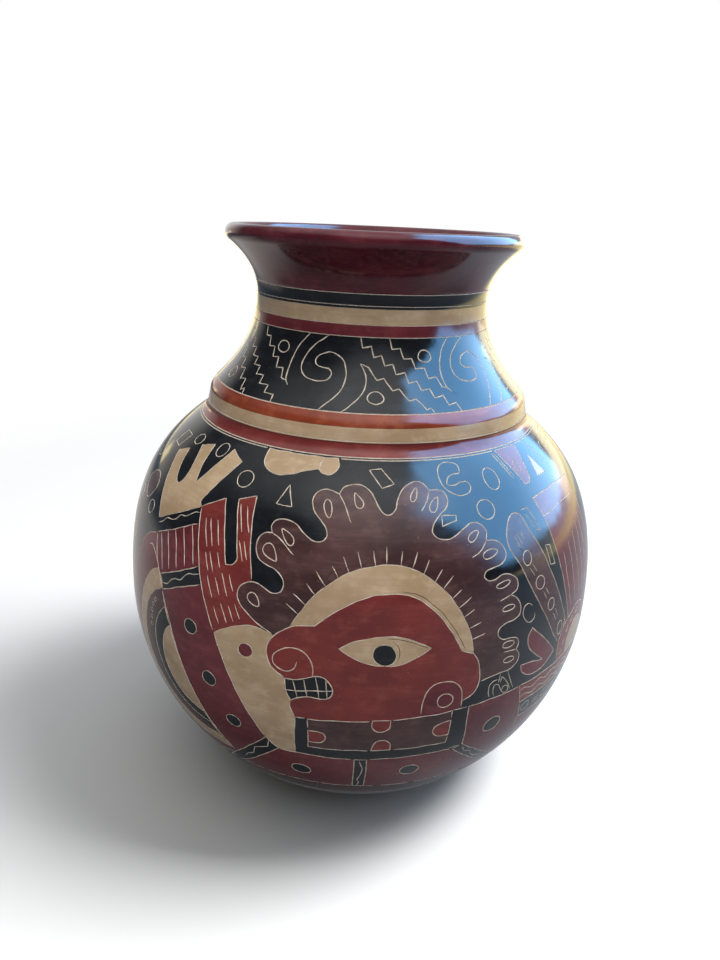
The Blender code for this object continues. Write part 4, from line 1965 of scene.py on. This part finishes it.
@dataclass
class Rim(Wall):
    """The oxblood flare with its thick rounded lip."""

    flare_rings: int = 22
    lip_rings: int = 20
    steps: int = 160
    groove_depth: float = 0.3
    groove_rise: float = 0.25
    lip_drop: float = 0.01

    def build(self) -> list[Piece]:
        """Turns the rim and puts it in place.

        Returns:
            The rim.
        """
        outline = self.outline
        meridian = outline.neck()
        at = np.linspace(outline.rim_seam, meridian.along[-1], self.flare_rings)
        outer = np.column_stack(meridian.at(at))
        centre = outline.lip_centre - [0, self.lip_drop]
        start = math.atan2(outer[-1, 1] - centre[1], outer[-1, 0] - centre[0])
        turn = np.linspace(start, start + math.pi, self.lip_rings)[1:]
        lip = centre + 0.5 * outline.lip_thickness * np.column_stack([np.cos(turn), np.sin(turn)])
        thickness = np.linspace(outline.lip_thickness, outline.wall, self.flare_rings)[:, None]
        back = outer[::-1] - thickness * meridian.outward(at)[::-1]
        radius, height = outer[0]
        back[-1, 1] = height
        groove = [(radius - self.groove_depth, height), (radius, height + self.groove_rise)]
        rings = groove + [tuple(place) for place in np.vstack([outer[1:], lip, back[1:]])]
        rim = turned("oxblood_rim", rings, self.steps, True)
        self.coat(rim, Slip.WINE)
        return [self.seat(rim, "flared_rim")]


@dataclass
class Foot(Wall):
    """The flat slab that the vase stands on."""

    sole_run: float = 8.0
    edge_run: float = 1.2
    edge_rise: float = 0.72
    ledge_run: float = 1.6
    corner_run: float = 3.0
    corner_drop: float = 1.2
    floor_run: float = 12.0
    steps: int = 128

    def build(self) -> list[Piece]:
        """Turns the slab and puts it in place.

        Returns:
            The slab.
        """
        meridian = self.outline.belly()
        top = self.outline.slab_edge
        floor = self.outline.floor
        sole = self.outline.foot_radius
        radius = float(np.interp(top, meridian.height, meridian.radius))
        inner = radius - self.outline.wall
        rings = [
            (0.5 * sole, 0.0),
            (sole - self.sole_run, 0.0),
            (sole - self.edge_run, 0.0),
            (sole, self.edge_rise),
            (radius, top),
            (inner + self.ledge_run, top),
            (inner - self.corner_run, floor - self.corner_drop),
            (inner - self.floor_run, floor),
            (0.5 * sole, floor),
        ]
        foot = turned("clay_foot", rings, self.steps, False)
        pick(foot)
        bpy.ops.object.mode_set(mode="EDIT")
        bpy.ops.mesh.select_all(action="DESELECT")
        bpy.ops.mesh.select_non_manifold()
        bpy.ops.mesh.edge_face_add()
        bpy.ops.mesh.poke()
        bpy.ops.object.mode_set(mode="OBJECT")
        self.coat(foot, Slip.CLAY)
        return [self.seat(foot, "base_slab")]


def towards(turn: float, rise: float) -> Vector:
    """Gives a direction by its turn from the camera's side and its rise, in degrees."""
    lifted = Matrix.Rotation(math.radians(-rise), 3, "X") @ Vector((0, -1, 0))
    return Matrix.Rotation(math.radians(turn), 3, "Z") @ lifted


class Reach(Enum):
    """What a lamp lights, by what its flag does to the floor."""

    FLOOR = "INCLUDE"
    VASE = "EXCLUDE"


@dataclass(frozen=True)
class Lamp:
    """A soft lamp that points at the vase and isn't seen in its shine."""

    name: str
    turn: float
    rise: float
    away: float
    size: tuple[float, float]
    power: float
    reach: Reach
    tint: Colour = (1.0, 1.0, 1.0)

    def hang(self, target: Vector, floor: Piece) -> None:
        """Hangs the lamp.

        Args:
            target: Where it points.
            floor: The floor, which it lights alone or not at all.
        """
        data = bpy.data.lights.new(self.name, "AREA")
        data.shape = "RECTANGLE"
        data.size, data.size_y = self.size
        data.energy = self.power
        data.color = self.tint
        lamp = bpy.data.objects.new(self.name, data)
        bpy.context.scene.collection.objects.link(lamp)
        lamp.visible_glossy = False
        lamp.location = target + self.away * towards(self.turn, self.rise)
        lamp.rotation_euler = (target - lamp.location).to_track_quat("-Z", "Y").to_euler()
        flag = bpy.data.collections.new(self.name)
        flag.objects.link(floor)
        flag.collection_objects[0].light_linking.link_state = self.reach.value
        lamp.light_linking.receiver_collection = flag


@dataclass(frozen=True)
class SoftGlow:
    """A soft patch of light in the surroundings, by angles in degrees."""

    name: str
    turn: float
    rise: float
    full: float
    fade: float
    light: Colour

    def shine(self, shader: Shader) -> Node:
        """Gives its light by the direction that is looked in.

        Args:
            shader: The surroundings' nodes.

        Returns:
            The light as a colour.
        """
        facing = shader.along(towards(self.turn, self.rise))
        share = facing.within(math.cos(math.radians(self.fade)), math.cos(math.radians(self.full)))
        return shader.scaled(self.light, share, self.name)


@dataclass(frozen=True)
class SoftWindow:
    """A ragged-edged rectangle of light in the surroundings, for the burnish to show."""

    name: str
    turn: float
    rise: float
    wide: float
    tall: float
    soft: float
    ragged: float
    light: Colour

    def shine(self, shader: Shader) -> Node:
        """Gives its light by the direction that is looked in.

        Args:
            shader: The surroundings' nodes.

        Returns:
            The light as a colour.
        """
        ahead = towards(self.turn, self.rise)
        side = ahead.cross(Vector((0, 0, 1))).normalized()
        facing = shader.along(ahead)
        fringe = self.ragged * (shader.noise((7, 7, 7), 6, 0.62) - 0.5)
        share = 1.0
        for axis, angle in ((side, self.wide), (side.cross(ahead), self.tall)):
            edge = math.tan(math.radians(angle)) * facing - shader.along(axis).size() + fringe
            share = edge.within(0.0, self.soft) * share
        return shader.scaled(self.light, share, self.name)


@dataclass(frozen=True)
class PaleFloor:
    """The floor's finish: grey near the vase, white far off, and near the vase a glow that only shiny
    rays see, painted reflections for the burnish.
    """

    dark: float = 0.62
    pale: float = 0.66
    bounce: float = 0.14
    # Colours the floor gives off towards the vase's shine alone: painted reflections, to the left, to the
    # right and warm
    left_reflected_glow: Colour = (0.80, 0.75, 0.72)
    right_reflected_glow: Colour = (0.66, 0.71, 0.78)
    warm_reflected_glow: Colour = (2.2, 1.9, 1.1)
    warm_way: Colour = (0.6, 0.8, 0.0)
    dim_place: Colour = (-0.2, -0.5, 0.0)

    def material(self) -> bpy.types.Material:
        """Makes the material.

        Returns:
            The material.
        """
        shader = Shader.of_material("floor")
        seen = shader.ray("Is Camera Ray")
        base = shader.blend(shader.noise((3, 3, 3), 2), grey(self.dark), grey(self.pale))
        shader.finish(Base_Color=shader.blend(seen, grey(self.bounce), base), Roughness=0.8)
        away = shader.vector("LENGTH", shader.place, (0, 0, 0), "Value")
        warm = shader.along(self.warm_way).within(0.8, 1.5)
        side = shader.along((1.0, 0.0, 0.0)).within(-0.3, 0.1)
        glow_tint = shader.blend(side, (*self.left_reflected_glow, 1), (*self.right_reflected_glow, 1))
        glow_tint = shader.blend(warm, glow_tint, (*self.warm_reflected_glow, 1))
        # White to the camera; to shiny rays a coloured glow, painted reflections on the vase's burnish
        glow = shader.add("ShaderNodeEmission", {}, {"Color": shader.blend(seen, glow_tint, grey(1))})
        glows = away.within(0.3, 0.8) * seen + self.shine_share(shader, away, warm)
        grey_floor = Node(shader, shader.surface.outputs[0])
        mixed = shader.add("ShaderNodeMixShader", {}, {0: glows, 1: grey_floor, 2: glow})
        shader.tree.links.new(mixed.socket, shader.tree.nodes["Material Output"].inputs["Surface"])
        return shader.owner

    def shine_share(self, shader: Shader, away: Node, warm: Node) -> Node:
        """Gives how much of the floor glows as a painted reflection where the vase's shine shows it.

        Args:
            shader: The floor's nodes.
            away: Distance from the vase.
            warm: Share of the warm painted glow.

        Returns:
            The share of the painted glow, 0 outside the shine.
        """
        near = 1.0 - away.within(0.3, 0.6)
        behind = shader.along((0.0, 1.0, 0.0)).within(0.0, 0.25) * (1.0 - away.within(0.7, 1.5))
        dim = shader.vector("DISTANCE", shader.place, self.dim_place, "Value").within(0.40, 0.72)
        near = (near + behind - near * behind) * dim
        return shader.ray("Is Glossy Ray") * (0.9 * near + warm)


@dataclass(frozen=True)
class Studio:
    """Floor, light and camera."""

    focal_pixels: float = 717.3
    frame_height: float = 960.0
    sensor: float = 36.0
    nearest: float = 0.01
    place: Knot = (0.0, -0.3734, 0.2975)
    pitch: float = 20.375
    roll: float = 2.56
    yaw: float = -0.288
    target: Knot = (0.0, 0.0, 0.16)
    floor_size: float = 12.0
    dimmest: Colour = (0.08, 0.08, 0.08)

    def camera(self) -> None:
        """Puts the camera where the photograph was taken from."""
        lens = bpy.data.cameras.new("camera")
        lens.sensor_width = self.sensor
        lens.lens = self.focal_pixels / self.frame_height * self.sensor
        lens.clip_start = self.nearest
        eye = bpy.data.objects.new("camera", lens)
        bpy.context.scene.collection.objects.link(eye)
        turn = math.radians(self.yaw)
        dip = math.radians(self.pitch)
        lean = math.radians(self.roll)
        ahead = Vector((math.sin(turn), math.cos(turn), 0))
        side = Vector((math.cos(turn), -math.sin(turn), 0))
        rise = Vector((0, 0, 1))
        look = math.cos(dip) * ahead - math.sin(dip) * rise
        up = math.sin(dip) * ahead + math.cos(dip) * rise
        right = math.cos(lean) * side + math.sin(lean) * up
        above = -math.sin(lean) * side + math.cos(lean) * up
        axes = Matrix((right, above, -look)).transposed().to_4x4()
        eye.matrix_world = Matrix.Translation(self.place) @ axes
        bpy.context.scene.camera = eye

    def lamps(self, floor: Piece) -> None:
        """Hangs the lamps round the vase.

        Args:
            floor: The floor.
        """
        lamps = (
            Lamp("key", 102, 40, 1.4, (0.4, 0.4), 7, Reach.VASE, (0.86, 0.94, 1.0)),
            Lamp("fill", -4, 12, 1.5, (1.0, 0.5), 4.6, Reach.VASE),
            Lamp("overhead", 0, 70, 1.3, (1.0, 1.0), 12, Reach.VASE),
            Lamp("floor_key", 88, 56, 1.4, (0.6, 0.6), 40, Reach.FLOOR),
        )
        for lamp in lamps:
            lamp.hang(Vector(self.target), floor)

    def world(self) -> None:
        """Makes the surroundings: white to the camera, and soft patches of light to the vase."""
        glows = (
            SoftGlow("front_top", 12, 60, 10, 38, (0.84, 0.84, 0.82)),
            SoftGlow("left_top", -95, 68, 10, 40, (0.34, 0.35, 0.33)),
            SoftGlow("zenith", 0, 90, 16, 52, (0.44, 0.44, 0.43)),
            SoftGlow("behind", 160, 10, 30, 66, (0.60, 0.64, 0.70)),
            SoftGlow("left_back", -145, 2, 8, 28, (0.65, 0.62, 0.58)),
            SoftGlow("right", 114, 0, 10, 36, (0.90, 0.92, 1.00)),
        )
        windows = (
            SoftWindow("window", 103, 39, 41, 36, 0.13, 0.42, (1.75, 4.7, 8.8)),
            SoftWindow("warm_strip", 146, 2, 20, 9, 0.05, 0.20, (2.9, 2.5, 1.4)),
            SoftWindow("warm_patch", -140, 0, 4, 5, 0.04, 0.06, (1.9, 1.55, 0.7)),
        )
        world = bpy.data.worlds.new("studio")
        bpy.context.scene.world = world
        shader = Shader(world, "Background", "Generated")
        light = self.dimmest
        for glow in glows:
            light = shader.vector("ADD", glow.shine(shader), light)
        shine = light
        for window in windows:
            shine = shader.vector("ADD", window.shine(shader), shine)
        light = shader.blend(shader.ray("Is Glossy Ray"), light, shine)
        shader.finish(Color=shader.blend(shader.ray("Is Camera Ray"), light, grey(1)))

    def floor(self) -> Piece:
        """Lays the pale floor.

        Returns:
            The floor.
        """
        bpy.ops.object.select_all(action="DESELECT")
        bpy.ops.mesh.primitive_plane_add(size=self.floor_size, location=(0, 0, 0))
        floor = bpy.context.object
        floor.name = "floor"
        floor.data.materials.append(PaleFloor().material())
        return floor

    def set_up(self) -> None:
        """Sets the stage."""
        bpy.context.scene.view_settings.view_transform = "Standard"
        self.camera()
        self.lamps(self.floor())
        self.world()


def main() -> None:
    """Builds the vase, section by section."""
    logging.basicConfig(level=logging.INFO, format="%(message)s")
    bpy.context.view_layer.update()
    outline = VaseLine()
    palette = Palette()
    for section in (Foot, Belly, Collar, Neck, Rim):
        for piece in section(outline, palette).build():
            LOG.info("%s: %d faces", piece.name, len(piece.data.polygons))
    Studio().set_up()


if __name__ == "__main__":
    main()
